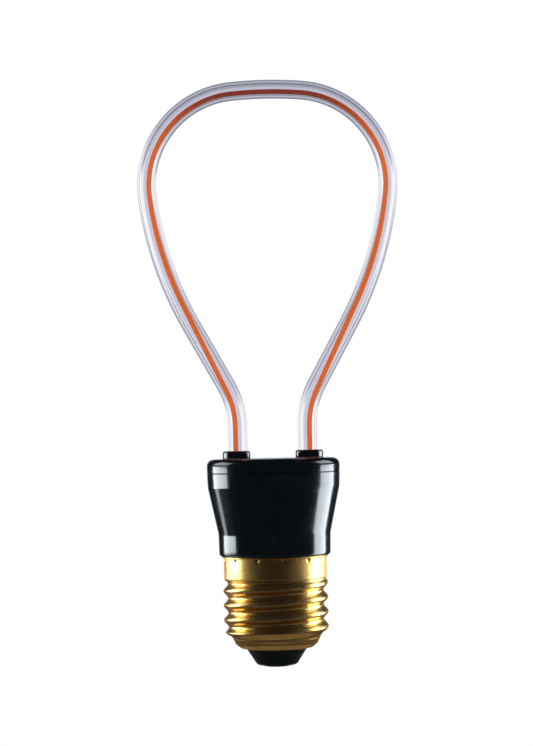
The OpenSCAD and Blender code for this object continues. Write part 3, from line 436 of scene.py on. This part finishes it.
def punch_marks(s, top, z, a):
    """Depth of the punch marks: wedges below the height top, wider and deeper upwards, whose
    sides follow exp(-2 (across / width)^2)."""
    spacing = 2 * np.pi / s.punches
    across = ((a + spacing / 6) % spacing - spacing / 2) * s.skirt
    up = (z - (top - 2 * s.punch_height)) / (2 * s.punch_height)
    top_share, tip_share = 0.12, 0.35
    deep = ease(up) * ease((1 + top_share - up) / top_share)
    narrow = s.punch_width * (tip_share + (1 - tip_share) * np.clip(up, 0, 1))
    return s.punch_depth * deep * np.exp(-(across / narrow) ** 2 * 2)


# Shader nodes

class Shade:
    """One socket of a node tree; arithmetic on it, from either side, adds the Math nodes."""

    def __init__(self, nodes, socket):
        self.nodes, self.socket = nodes, socket

    def math(self, operation, *values):
        """The result of a Math node with these inputs."""
        return self.nodes.add("ShaderNodeMath", {"operation": operation}, dict(enumerate(values)))

    def __add__(self, other):
        return self.math("ADD", self, other)

    def __sub__(self, other):
        return self.math("SUBTRACT", self, other)

    def __mul__(self, other):
        return self.math("MULTIPLY", self, other)

    def __rsub__(self, other):
        return self.math("SUBTRACT", other, self)

    def __abs__(self):
        return self.math("ABSOLUTE", self)

    __radd__, __rmul__ = __add__, __mul__

    def of(self, output):
        """Another output of the same node."""
        return Shade(self.nodes, self.socket.node.outputs[output])


class Nodes:
    """The node tree of one material, or of the world."""

    def __init__(self, owner):
        owner.use_nodes = True
        self.tree = owner.node_tree
        self.tree.nodes.clear()

    def add(self, kind, settings=None, sockets=None, output=0):
        """Adds a node of this type: first its settings, then the values or links of its sockets.
        A colour is given as three numbers."""
        node = self.tree.nodes.new(kind)
        for key, value in (settings or {}).items():
            setattr(node, key, value)
        for key, value in (sockets or {}).items():
            socket = node.inputs[key]
            if isinstance(value, Shade):
                self.tree.links.new(value.socket, socket)
            else:
                socket.default_value = (*value, 1.0) if socket.type == "RGBA" else value
        return Shade(self, node.outputs[output]) if len(node.outputs) else node

    def place(self, scale=(1.0, 1.0, 1.0), uv=False):
        """Object coordinates, or the piece's own UV map, stretched by scale."""
        start = self.add("ShaderNodeTexCoord", output="UV" if uv else "Object")
        return self.add("ShaderNodeMapping", None, {"Vector": start, "Scale": scale})

    def axis(self, vector, name="X"):
        """One of a vector's three numbers."""
        return self.add("ShaderNodeSeparateXYZ", None, {"Vector": vector}, name)

    def noise(self, vector, scale, detail=3.0, roughness=0.5):
        """Cloudy noise from 0 to 1."""
        return self.add("ShaderNodeTexNoise", None, {
            "Vector": vector, "Scale": scale, "Detail": detail, "Roughness": roughness})

    def step(self, value, low_end, high_end, to_low=0.0, to_high=1.0):
        """A smooth step of value from low_end to high_end."""
        return self.add("ShaderNodeMapRange", {"interpolation_type": "SMOOTHSTEP"}, {
            "Value": value, "From Min": low_end, "From Max": high_end,
            "To Min": to_low, "To Max": to_high})

    def blend(self, factor, first, second):
        """A colour between two; the numbers are the places of the node's colour sockets."""
        return self.add(
            "ShaderNodeMix", {"data_type": "RGBA"}, {0: factor, 6: first, 7: second}, 2)

    def bump(self, height, strength, distance):
        """A normal from a height."""
        return self.add("ShaderNodeBump", None, {
            "Height": height, "Strength": strength, "Distance": distance})

    def surface(self, **sockets):
        """The Principled surface; underscores in a socket's name stand for spaces."""
        shader = self.add("ShaderNodeBsdfPrincipled", None, {
            key.replace("_", " "): value for key, value in sockets.items()})
        self.add("ShaderNodeOutputMaterial", None, {"Surface": shader})


def new_material(name):
    """A new material and its empty node tree."""
    material = bpy.data.materials.new(name)
    return material, Nodes(material)


def dress(target, material):
    """Gives the whole object one material."""
    target.data.materials.clear()
    target.data.materials.append(material)


def shared(name, make, *values):
    """The material of this name, made the first time that a piece asks for it. The frame's own
    materials have the slots' names, so these have others."""
    return bpy.data.materials.get(name) or make(name, *values)


# Finishes

def clear_glass(finish):
    """Clear drawn glass with the faintest change of tint along it."""
    material, n = new_material("drawn_glass")
    cloud = n.noise(n.place(), 60.0)
    tint = n.blend(cloud, finish.glass, [c * 0.992 for c in finish.glass])
    n.surface(Base_Color=tint, Roughness=0.0, IOR=1.49, Transmission_Weight=1.0)
    return material


def phosphor_silicone(finish, pitch, run):
    """Orange silicone over a run of that length: a little deeper between the chips, darker and
    redder at the crown by painted shade, and with a fine cloudy grain. It glows in its own
    colour, which is painted light."""
    material, n = new_material("orange_phosphor")
    along = n.axis(n.place(uv=True))
    wave = along.math("COSINE", along * (2 * math.pi / pitch)) * 0.5 + 0.5
    cloud = n.noise(n.place(), 1800.0)
    # Painted shade: darker red over the middle of the run, at the crown
    crown_shade = n.step(abs(along - run / 2), 0.037, 0.01)
    tone = crown_shade * 0.92 + wave * 0.04 + cloud * 0.08
    base = n.blend(tone, finish.silicone, finish.silicone_crown_shade)
    # The emission in the silicone's own colour is painted light
    n.surface(Base_Color=base, Roughness=n.step(cloud, 0.3, 0.7, 0.5, 0.6),
              Normal=n.bump(cloud, 0.1, 0.00002), IOR=1.41, Specular_IOR_Level=0.1,
              Emission_Color=base, Emission_Strength=finish.silicone_painted_glow)
    return material


def black_plastic(name, finish, polished=True):
    """Moulded black plastic: a soft gloss that wanders, a fine grain, and a few specks of dust.
    Unpolished, it is rougher and darker, and has no coat."""
    material, n = new_material(name)
    where = n.place()
    cloud = n.noise(where, 140.0, 4.0)
    grain = n.noise(where, 5200.0, 2.0)
    specks = n.step(n.noise(where, 1500.0, 1.0), 0.73, 0.78)
    worn = specks * 0.7 + n.step(cloud, 0.5, 0.8) * 0.3
    base = n.blend(worn, finish.plastic, finish.plastic_dust)
    rough = finish.plastic_gloss if polished else finish.insulator_gloss
    n.surface(Base_Color=base,
              Roughness=n.step(cloud, 0.3, 0.7, rough * 0.85, rough * 1.2) + specks * 0.2,
              Normal=n.bump(grain * 0.5 + cloud * 0.5, 0.05, 0.00002), IOR=1.5,
              Specular_IOR_Level=0.5 if polished else 0.15,
              Coat_Weight=finish.plastic_coat if polished else 0.0, Coat_Roughness=0.08)
    return material


def cap_brass(finish, thread_top):
    """Spun brass: fine turned lines round the axis, a warmer tone in patches, and threads that
    rolling has left smoother than the skirt above them. A grain too fine to see mixes sharper
    and broader gloss."""
    material, n = new_material("rolled_brass")
    where = n.place()
    lines = n.noise(n.place((1.0, 1.0, 60.0)), 110.0, 2.0)
    cloud = n.noise(where, 170.0, 5.0, 0.6)
    base = n.blend(n.step(cloud, 0.35, 0.75), finish.brass, finish.brass_deep)
    rolled = n.step(n.axis(where, "Z"), thread_top + 0.0005, thread_top - 0.0015,
                    1.0, finish.thread_gloss / finish.brass_gloss)
    grain = n.step(n.noise(where, 11000.0, 1.0), 0.42, 0.58, 0.78, 1.3)
    wander = n.step(cloud, 0.3, 0.8, finish.brass_gloss * 0.85, finish.brass_gloss * 1.2)
    n.surface(Base_Color=base, Metallic=1.0, Roughness=wander * grain * rolled,
              Normal=n.bump(lines, 0.05, 0.00002))
    return material


def mottled(name, light, dark, roughness, metallic=0.0, scale=900.0, stretch=(1.0, 1.0, 1.0)):
    """A finish for the smaller pieces: two tones in a cloudy pattern, and its grain."""
    material, n = new_material(name)
    cloud = n.noise(n.place(stretch), scale, 4.0)
    n.surface(Base_Color=n.blend(n.step(cloud, 0.35, 0.65), dark, light),
              Metallic=metallic,
              Roughness=n.step(cloud, 0.3, 0.7, roughness * 0.85, roughness * 1.15),
              Normal=n.bump(cloud, 0.1, 0.00003))
    return material


# What is mottled inside the lamp: light tone, dark tone, roughness, and where they aren't the
# usual ones metallic, the pattern's scale and its stretch
INSIDE = {
    "white_silicone": ((0.78, 0.78, 0.75), (0.66, 0.66, 0.62), 0.5),
    "flexible_strip": ((0.8, 0.8, 0.76), (0.7, 0.68, 0.6), 0.4),
    "light_chip": ((0.85, 0.72, 0.3), (0.7, 0.55, 0.15), 0.25),
    "tinned_metal": ((0.72, 0.72, 0.74), (0.55, 0.56, 0.58), 0.3, 1.0),
    "circuit_board": ((0.03, 0.16, 0.06), (0.02, 0.11, 0.04), 0.35),
    "moulded_chip": ((0.025, 0.025, 0.027), (0.015, 0.015, 0.016), 0.55),
    "chip_ceramic": ((0.45, 0.3, 0.17), (0.36, 0.23, 0.12), 0.4),
    "can_aluminium": ((0.8, 0.81, 0.82), (0.66, 0.67, 0.69), 0.28, 1.0, 300.0, (1.0, 1.0, 12.0)),
    "blue_film": ((0.015, 0.03, 0.12), (0.01, 0.02, 0.08), 0.3),
    "black_rubber": ((0.02, 0.02, 0.02), (0.012, 0.012, 0.012), 0.7),
    "ferrite": ((0.05, 0.048, 0.045), (0.03, 0.029, 0.027), 0.6),
    "enamelled_copper": ((0.55, 0.2, 0.07), (0.4, 0.13, 0.04), 0.25, 1.0),
    "orange_epoxy": ((0.6, 0.16, 0.03), (0.5, 0.12, 0.02), 0.35),
    "blue_epoxy": ((0.04, 0.12, 0.4), (0.03, 0.09, 0.3), 0.35),
    "resistor_body": ((0.3, 0.45, 0.33), (0.22, 0.35, 0.25), 0.45),
    "red_insulation": ((0.5, 0.02, 0.015), (0.4, 0.015, 0.01), 0.4),
    "blue_insulation": ((0.02, 0.05, 0.3), (0.015, 0.035, 0.22), 0.4),
}


def carry_over(names_by_slot):
    """Keeps CAD nodes as they are, with the finish of their slot."""
    for slot, names in names_by_slot.items():
        material = shared(f"finished_{slot}", mottled, *INSIDE[slot])
        for name in names:
            dress(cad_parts[name], material)


def stand_for(piece, node, material):
    """The piece takes a CAD node's place, slot and body."""
    dress(piece, material)
    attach(piece, BODY)
    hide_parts(node)


def lamp_group(name):
    """The collection that says which pieces a softbox lights or leaves out."""
    return bpy.data.collections.get(name) or bpy.data.collections.new(name)


def join_lamp_groups(piece, names, state):
    """Puts a piece among those that the softboxes of these groups light, or leave out."""
    for name in names:
        group = lamp_group(name)
        group.objects.link(piece)
        for item in group.collection_objects:
            item.light_linking.link_state = state


# Operators

class LAMP_OT_stage(bpy.types.Operator):
    """Makes the camera, the lamps, the world and the floor"""
    bl_idname = "lamp.stage"
    bl_label = "Stage"

    def execute(self, context):
        s = context.scene.lamp_stage
        context.scene.view_settings.view_transform = "Standard"
        self.camera(context, s)
        self.world(context)
        left, right, behind_left = (-107.0, 0.4), (108.0, 0.385), (-120.0, 0.1)
        away, cool = 0.55, (0.865, 0.94, 1.0)
        for name, (turn, wide), heights, radiance, receivers in (
                ("softbox_left", left, (-0.03, 0.14), s.box_light, NOT_GLASS_OR_LID),
                ("softbox_right", right, (-0.24, 0.14), s.box_light, NOT_GLASS_OR_LID),
                ("lid_left", left, (-0.03, 0.062), s.box_light, LID_ALONE),
                ("lid_right", right, (-0.24, 0.062), s.box_light, LID_ALONE),
                ("left_edge", behind_left, (-0.27, -0.03), s.edge_light * 0.85, NOT_GLASS),
                ("left_low", left, (-0.45, -0.27), s.edge_light, NOT_GLASS),
                ("left_high", left, (0.16, 0.5), s.edge_light, NOT_GLASS),
                ("right_low", right, (-0.45, -0.24), s.edge_light, NOT_GLASS),
                ("right_high", right, (0.16, 0.5), s.edge_light, NOT_GLASS)):
            box = self.lamp(context, name, turn, away, wide, heights, radiance)
            box.data.color = cool
            box.light_linking.receiver_collection = lamp_group(receivers)
        fill = self.lamp(context, "fill", 0.0, 0.6, 0.5, (-0.05, 0.35), s.fill_light)
        fill.visible_glossy = False
        self.floor(s)
        return {"FINISHED"}

    def camera(self, context, s):
        """A level camera whose shift brings the lamp to its place in the picture."""
        data = bpy.data.cameras.new("camera")
        data.sensor_width = 36.0
        data.lens = data.sensor_width * s.distance / s.tall
        data.shift_y = (s.aim - s.eye) / s.tall
        data.shift_x = s.side / s.tall
        camera = bpy.data.objects.new("camera", data)
        camera.location = (0.0, -s.distance, s.eye)
        camera.rotation_euler = (math.pi / 2, s.roll, 0.0)
        context.scene.collection.objects.link(camera)
        context.scene.camera = camera

    def lamp(self, context, name, turn, away, wide, heights, radiance):
        """A rectangular softbox that faces the lamp's axis from that far away, turn degrees round
        from the camera's side, and reaches from one height to another."""
        light = bpy.data.lights.new(name, "AREA")
        tall = heights[1] - heights[0]
        light.shape = "RECTANGLE"
        light.size, light.size_y = wide, tall
        light.energy = radiance * math.pi * wide * tall
        a = math.radians(turn)
        lamp = bpy.data.objects.new(name, light)
        lamp.location = (away * math.sin(a), -away * math.cos(a), sum(heights) / 2)
        lamp.rotation_euler = (math.pi / 2, 0.0, a)
        lamp.visible_camera = lamp.visible_transmission = False
        context.scene.collection.objects.link(lamp)
        return lamp

    def world(self, context):
        """White to the camera. What shines or is lit sees a dark room with grey side walls, a
        pale end wall behind the lamp and a small warm patch in front of it. Through glass there
        is a pale backdrop with bright sides, in a dark frame that draws lines along the tube. It
        is alike in front and behind, so the tube looks the same from both."""
        world = bpy.data.worlds.new("studio")
        context.scene.world = world
        n = Nodes(world)
        way = n.add("ShaderNodeTexCoord", output="Generated")
        x = n.axis(way)
        y, z = x.of("Y"), x.of("Z")
        path = n.add("ShaderNodeLightPath", output="Is Camera Ray")
        through = path.of("Is Transmission Ray")
        side, depth, level = abs(x), abs(y), abs(z)
        dark, side_wall = (0.018, 0.02, 0.029), (0.1, 0.16, 0.2)
        end_wall, warm_patch = (0.62, 0.65, 0.74), (0.1, 0.035, 0.022)
        at_side = n.step(side, 0.75, 1.0) * n.step(y, -0.05, 0.2)
        at_end = n.step(y, 0.94, 0.99) * n.step(level, 0.75, 0.5)
        at_patch = n.step(side, 0.07, 0.0) * n.step(y, -0.8, -0.98) * n.step(level, 0.2, 0.1)
        room = n.blend(at_end, n.blend(at_side, dark, side_wall), end_wall)
        mirrored = n.blend(at_patch, room, warm_patch)
        pale, greyer = (0.62, 0.63, 0.75), (0.27, 0.28, 0.33)
        bright, shade, beside = (1.02, 1.02, 1.03), (0.1, 0.1, 0.12), (0.5, 0.51, 0.57)
        in_band = n.step(side, 0.22, 0.48) * n.step(level, 0.3, 0.14)
        in_frame = n.step(depth, 0.48, 0.38) * n.step(depth, 0.14, 0.24) * n.step(level, 0.2, 0.36)
        backdrop = n.blend(n.step(level, 0.1, 0.7), pale, greyer)
        backdrop = n.blend(in_frame, n.blend(in_band, backdrop, bright), shade)
        refracted = n.blend(n.step(depth, 0.28, 0.1), backdrop, beside)
        light = n.blend(through, mirrored, refracted)
        light = n.blend(path, light, (1.0, 1.0, 1.0))
        shader = n.add("ShaderNodeBackground", None, {"Color": light, "Strength": 1.0})
        n.add("ShaderNodeOutputWorld", None, {"Surface": shader})

    def floor(self, s):
        """A pale disc at x = r cos a, y = r sin a, whose edge fades out, so that it keeps the
        shadow and shows no rim. Gloss sees it dark but for painted highlights: brighter patches
        close to the cap and to either side, which the cap reflects."""
        rings, sides = 9, 96
        r = np.linspace(s.floor, 0.0, rings)[:, None]
        a = np.arange(sides) * 2 * np.pi / sides
        points = np.stack((r * np.cos(a), r * np.sin(a), 0 * r + 0 * a), -1).reshape(-1, 3)
        piece = make_piece("floor", points, grid_faces(rings, sides))
        material, n = new_material("pale_floor")
        where = n.place()
        reach = n.add("ShaderNodeVectorMath", {"operation": "LENGTH"}, {0: where}, "Value")
        cloud = n.noise(where, 30.0)
        path = n.add("ShaderNodeLightPath", output="Is Camera Ray")
        mirrored = path.of("Is Glossy Ray")
        # Painted highlights: to gloss, the floor is brighter close to the cap and to either side
        tone = n.blend(cloud, (0.26, 0.26, 0.26), (0.24, 0.24, 0.24))
        painted_patches = n.step(reach, 0.016, 0.011) + n.step(abs(n.axis(where)), 0.012, 0.035)
        painted_reflection = n.blend(painted_patches, (0.1, 0.09, 0.11), (0.42, 0.4, 0.36))
        paint = n.add("ShaderNodeBsdfDiffuse", None, {"Color": n.blend(mirrored, tone, painted_reflection)})
        shown = path + path.of("Is Transmission Ray")
        glow = n.add("ShaderNodeEmission", None, {"Color": (1, 1, 1), "Strength": shown * 0.96})
        lit = n.add("ShaderNodeAddShader", None, {0: paint, 1: glow})
        clear = n.add("ShaderNodeBsdfTransparent")
        fade = n.step(reach, s.floor * 0.35, s.floor * 0.98)
        n.add("ShaderNodeOutputMaterial", None, {
            "Surface": n.add("ShaderNodeMixShader", None, {0: fade, 1: lit, 2: clear})})
        dress(piece, material)


class LAMP_OT_glass_tube(bpy.types.Operator):
    """Bends the clear glass tube"""
    bl_idname = "lamp.glass_tube"
    bl_label = "Glass tube"

    def execute(self, context):
        sizes = context.scene.lamp_loop
        stations = Loop(sizes).stations(0.0, sizes.foot)
        sides = 88
        # Along the outside and back along the bore, so that a flat ring closes each end
        outside = sweep_surface(stations, sizes.tube, sides)
        bore = sweep_surface(stations[::-1], sizes.bore, sides)
        faces = grid_faces(2 * len(stations), sides, close=True)
        tube = make_piece("glass_tube_drawn", np.concatenate((outside, bore)), faces, sharp=60.0)
        stand_for(tube, "glass_tube", clear_glass(context.scene.lamp_finish))
        join_lamp_groups(tube, (NOT_GLASS, NOT_GLASS_OR_LID), "EXCLUDE")
        return {"FINISHED"}


class LAMP_OT_filament(bpy.types.Operator):
    """Lays the coated filament in the bore"""
    bl_idname = "lamp.filament"
    bl_label = "Filament"

    def execute(self, context):
        loop, sizes = context.scene.lamp_loop, context.scene.lamp_filament
        offset = (loop.bore - sizes.coat) / 2 - sizes.gap
        stations = Loop(loop).stations(offset, sizes.foot)
        sides = 24
        rings = sweep_surface(stations, sizes.coat, sides)
        uv = sweep_uv(stations, sides)
        # One more ring at each end, drawn in to its middle, closes it
        points = np.concatenate((
            np.repeat(rings[:sides].mean(0)[None], sides, 0), rings,
            np.repeat(rings[-sides:].mean(0)[None], sides, 0)))
        uv = np.concatenate((uv[:sides], uv, uv[-sides:]))
        faces = grid_faces(len(stations) + 2, sides)
        coat = make_piece("phosphor_coating", points, faces, sharp=50.0, uv=uv)
        stand_for(coat, "filament_coating",
                  phosphor_silicone(context.scene.lamp_finish, sizes.chip_pitch, uv[-1, 0]))
        carry_over({"flexible_strip": ("filament_strip",), "light_chip": ("led_chips",)})
        return {"FINISHED"}


class LAMP_OT_leg_fittings(bpy.types.Operator):
    """Makes the collars and gaskets round the legs, and finishes what is inside them"""
    bl_idname = "lamp.leg_fittings"
    bl_label = "Leg fittings"

    def execute(self, context):
        s, finish = context.scene.lamp_housing, context.scene.lamp_finish
        plastic = shared("glossy_black", black_plastic, finish)
        rubber = mottled("gasket_rubber", finish.gasket, [c * 0.7 for c in finish.gasket], 0.5)
        foot_edge, hole_edge = 0.00006, 0.00012
        nearly_half = (high("left_gasket") - low("left_gasket")) / 2 * 0.98
        rings = (
            ("collar", (foot_edge, s.collar_edge, hole_edge), 10, "black_plastic", plastic),
            ("gasket", (nearly_half, nearly_half, 0), 6, "red_silicone", rubber),
        )
        for side in ("left", "right"):
            for kind, edges, steps, slot, material in rings:
                node = f"{side}_{kind}"
                ring = self.ring(s, f"{side}_leg_{kind}", node, edges, steps)
                stand_for(ring, node, material)
        carry_over({
            "white_silicone": (
                "left_sealant", "right_sealant", "left_tube_plug", "right_tube_plug"),
            "tinned_metal": ("left_end_tab", "right_end_tab"),
        })
        return {"FINISHED"}

    def ring(self, s, name, node, edges, steps):
        """A ring turned round its leg. Its edges are rounded at its foot, at its top and in its
        hole, in that many steps each."""
        foot, top = low(node), high(node)
        at_foot, at_top, at_hole = edges
        outline = soften(((s.collar_bore, foot, 0), (s.collar, foot, at_foot),
                          (s.collar, top, at_top), (s.collar_bore, top, at_hole)), steps)
        return revolve(name, outline, sides=96, centre=middle_x(node), sharp=50.0)


class LAMP_OT_housing(bpy.types.Operator):
    """Turns the flared housing and its lid"""
    bl_idname = "lamp.housing"
    bl_label = "Housing"

    def execute(self, context):
        s, finish = context.scene.lamp_housing, context.scene.lamp_finish
        plastic = shared("glossy_black", black_plastic, finish)
        self.body(s, context.scene.lamp_cap, plastic)
        self.lid(s, plastic)
        return {"FINISHED"}

    def body(self, s, cap, plastic):
        """The body, turned from an outline that runs from the spigot's bore out, up to the seam
        and down again inside the wall."""
        stub, stub_rise = cap.skirt - cap.sheet - FIT_GAP, 0.0006
        ledge, arris = s.neck_foot + 0.0015, 0.00006
        inner_neck, inner_belt = s.neck - s.wall, s.belt - s.wall
        outline = soften((
            (s.spigot_bore, s.spigot_foot, 0), (s.spigot, s.spigot_foot, 0.0002),
            (s.spigot, cap.thread_top + stub_rise, 0), (stub, cap.thread_top + 2 * stub_rise, 0),
            (stub, s.neck_foot, 0), (s.neck, s.neck_foot, s.foot_edge),
            (s.neck + s.neck_draft, s.flare_foot, s.soft_edge), (s.belt, s.flare_top, s.soft_edge),
            (s.lid, s.seam - s.seam_bevel, arris), (s.lid - s.seam_bevel, s.seam, arris),
            (inner_belt, s.seam, 0), (inner_belt, s.flare_top, 0),
            (inner_neck, s.flare_foot, 0), (inner_neck, ledge, 0), (s.spigot_bore, ledge, 0)))
        body = revolve("flared_housing", divide(outline, 0.0008), sides=256)
        stand_for(body, "housing_body", plastic)

    def lid(self, s, plastic):
        """The lid, turned from an outline that starts on the axis under its top, with a hole for
        each leg that a turned plug cuts."""
        rim, rim_wall = s.belt - s.wall - FIT_GAP, 0.0012
        foot, ceiling, arris = s.seam - 0.0025, s.lid_top - s.lid_wall, 0.00005
        outline = soften((
            (0, ceiling, 0), (rim - rim_wall, ceiling, 0), (rim - rim_wall, foot, 0),
            (rim, foot, 0), (rim, s.seam, 0), (s.lid - s.seam_bevel, s.seam, arris),
            (s.lid, s.seam + s.seam_bevel, arris), (s.lid, s.lid_top, s.lid_edge),
            (0, s.lid_top, 0)), steps=12)
        lid = revolve("housing_cover", divide(outline, 0.0015), sides=256)
        hole, past = s.collar_bore, s.lid_top + 0.001
        plug = np.array(((0, foot), (hole, foot), (hole, past), (0, past)))
        for side in ("left", "right"):
            middle = middle_x(f"{side}_collar")
            cut(lid, revolve(f"{side}_hole", plug, sides=96, centre=middle))
        stand_for(lid, "housing_lid", plastic)
        join_lamp_groups(lid, (NOT_GLASS_OR_LID,), "EXCLUDE")
        join_lamp_groups(lid, (LID_ALONE,), "INCLUDE")


class LAMP_OT_screw_cap(bpy.types.Operator):
    """Rolls the brass thread and makes the insulator and the contact"""
    bl_idname = "lamp.screw_cap"
    bl_label = "Screw cap"

    def execute(self, context):
        s, finish = context.scene.lamp_cap, context.scene.lamp_finish
        shell = self.shell(s)
        stand_for(shell, "screw_shell", cap_brass(finish, s.thread_top))
        self.insulator(s, finish)
        self.contact(s, finish)
        carry_over({"tinned_metal": ("contact_solder",)})
        return {"FINISHED"}

    def insulator(self, s, finish):
        """The insulator: a turned cone under the nose, and what goes up through it."""
        foot, top = low("cap_insulator"), high("cap_insulator")
        hole = s.nose - s.nose_rounding + FIT_GAP
        bore = s.stem + FIT_GAP
        cone = soften(((bore, foot, 0), (s.cone_low, foot, 0.0003), (hole, s.nose_foot, 0),
                       (hole, top, 0), (bore, top, 0)))
        insulator = revolve("cap_insulator_cone", divide(cone, 0.0005))
        dark = black_plastic("matt_black", finish, polished=False)
        stand_for(insulator, "cap_insulator", dark)

    def contact(self, s, finish):
        """The contact: a shallow turned dish with a hollow stem, its metal darkened as painted
        shade.
        """
        stem_top, bore = high("centre_contact"), 0.0008
        rim_low, rim_top = 0.00042, 0.0006
        outline = soften((
            (bore, 0, 0.0001), (s.contact_flat, 0, 0.0008), (s.contact, rim_low, 0.0001),
            (s.contact, rim_top, 0.00005), (s.stem, rim_top, 0), (s.stem, stem_top, 0),
            (bore, stem_top, 0)))
        dish = revolve("contact_dish", outline, sides=128)
        # Painted shade: darkened metal that stands in for the shade under the cap
        deep = [c * 0.6 for c in finish.contact]
        darkened = mottled("contact_painted_shade", finish.contact, deep, roughness=0.45, metallic=1.0)
        stand_for(dish, "centre_contact", darkened)

    def shell(self, s):
        """The brass as one surface of the angle a and the distance along its profile: up the
        outside, over the lip, and down the inside, a sheet's thickness in and in wider steps, to
        half a sheet above the lower end."""
        sides, nose_rows, thread_rows, skirt_rows, inner_rows = 288, 43, 105, 44, 12
        thin = 0.0001
        a = np.arange(sides)[None, :] * 2 * np.pi / sides
        top, inside = high("screw_shell"), s.skirt - s.sheet
        under_lip = top - s.lip_height
        nose_r, nose_z = nose_outline(s, nose_rows)
        thread_z = np.linspace(s.thread_foot, s.thread_top, thread_rows)[1:]
        skirt_z = np.linspace(s.thread_top, under_lip - thin, skirt_rows)[1:]
        lip = soften(((s.skirt, under_lip - thin, 0), (s.lip, under_lip + thin, 0.0001),
                      (s.lip, top, 0.00012), (inside, top, 0)), steps=5)[1:-1]
        down = thread_z[::-3][1:]

        def threaded(z):
            return thread_radius(s, nose_r[-1], z[:, None], a)

        def round_rows(radii):
            return radii[:, None] + 0 * a

        outer_z = np.concatenate((nose_z, thread_z, skirt_z))
        outer = np.concatenate((
            round_rows(nose_r), threaded(thread_z), round_rows(np.full_like(skirt_z, s.skirt))))
        outer = outer - punch_marks(s, under_lip - 2 * thin, outer_z[:, None], a)
        inner_z = np.concatenate((
            (top,), np.linspace(under_lip, s.thread_top, inner_rows), down, nose_z[::-6]))
        inner_z = np.maximum(inner_z, nose_z[0] + s.sheet * 0.5)
        inner = np.concatenate((
            round_rows(np.full(1 + inner_rows, inside)), threaded(down) - s.sheet,
            round_rows(nose_r[::-6] - s.sheet)))
        radius = np.concatenate((outer, round_rows(lip[:, 0]), inner))
        z = np.concatenate((outer_z, lip[:, 1], inner_z))[:, None] + 0 * a
        points = np.stack((radius * np.cos(a), radius * np.sin(a), z), -1).reshape(-1, 3)
        faces = grid_faces(len(z), sides, close=True)
        return make_piece("screw_thread_shell", points, faces, sharp=50.0)


class LAMP_OT_driver(bpy.types.Operator):
    """Finishes the driver's board, components and leads, which the housing hides"""
    bl_idname = "lamp.driver"
    bl_label = "Driver"

    def execute(self, context):
        carry_over({
            "circuit_board": ("driver_board",),
            "moulded_chip": ("bridge_rectifier", "driver_chip", "chip_resistors"),
            "chip_ceramic": ("chip_capacitors",),
            "can_aluminium": ("smoothing_capacitor",),
            "blue_film": ("capacitor_sleeve",),
            "black_rubber": ("capacitor_bung", "fuse_sleeve"),
            "tinned_metal": ("capacitor_legs",),
            "ferrite": ("choke_core",),
            "enamelled_copper": ("choke_winding",),
            "orange_epoxy": ("film_capacitor",),
            "blue_epoxy": ("varistor",),
            "resistor_body": ("fuse_resistor",),
            "red_insulation": ("live_lead", "left_output_lead", "right_output_lead"),
            "blue_insulation": ("neutral_lead",),
        })
        return {"FINISHED"}


OPERATORS = (
    LAMP_OT_stage, LAMP_OT_glass_tube, LAMP_OT_filament, LAMP_OT_leg_fittings, LAMP_OT_housing,
    LAMP_OT_screw_cap, LAMP_OT_driver,
)


class LAMP_PT_panel(bpy.types.Panel):
    """The lamp's pieces and sizes"""
    bl_idname = "LAMP_PT_panel"
    bl_label = "LED loop lamp"
    bl_space_type = "VIEW_3D"
    bl_region_type = "UI"
    bl_category = "Lamp"

    def draw(self, context):
        for operator in OPERATORS:
            self.layout.operator(operator.bl_idname)
        for name in GROUPS:
            group = getattr(context.scene, name)
            box = self.layout.box()
            box.label(text=group.bl_rna.description)
            for key in group.__annotations__:
                box.prop(group, key)


def register():
    """Registers the property groups, the operators and the panel."""
    for name, group in GROUPS.items():
        bpy.utils.register_class(group)
        setattr(bpy.types.Scene, name, PointerProperty(type=group))
    for item in (*OPERATORS, LAMP_PT_panel):
        bpy.utils.register_class(item)


def unregister():
    """Takes them all away again."""
    for item in (LAMP_PT_panel, *reversed(OPERATORS)):
        bpy.utils.unregister_class(item)
    for name, group in GROUPS.items():
        delattr(bpy.types.Scene, name)
        bpy.utils.unregister_class(group)


def main():
    """Builds the lamp and its stage."""
    register()
    for operator in OPERATORS:
        group, name = operator.bl_idname.split(".")
        getattr(getattr(bpy.ops, group), name)()


if __name__ == "__main__":
    main()
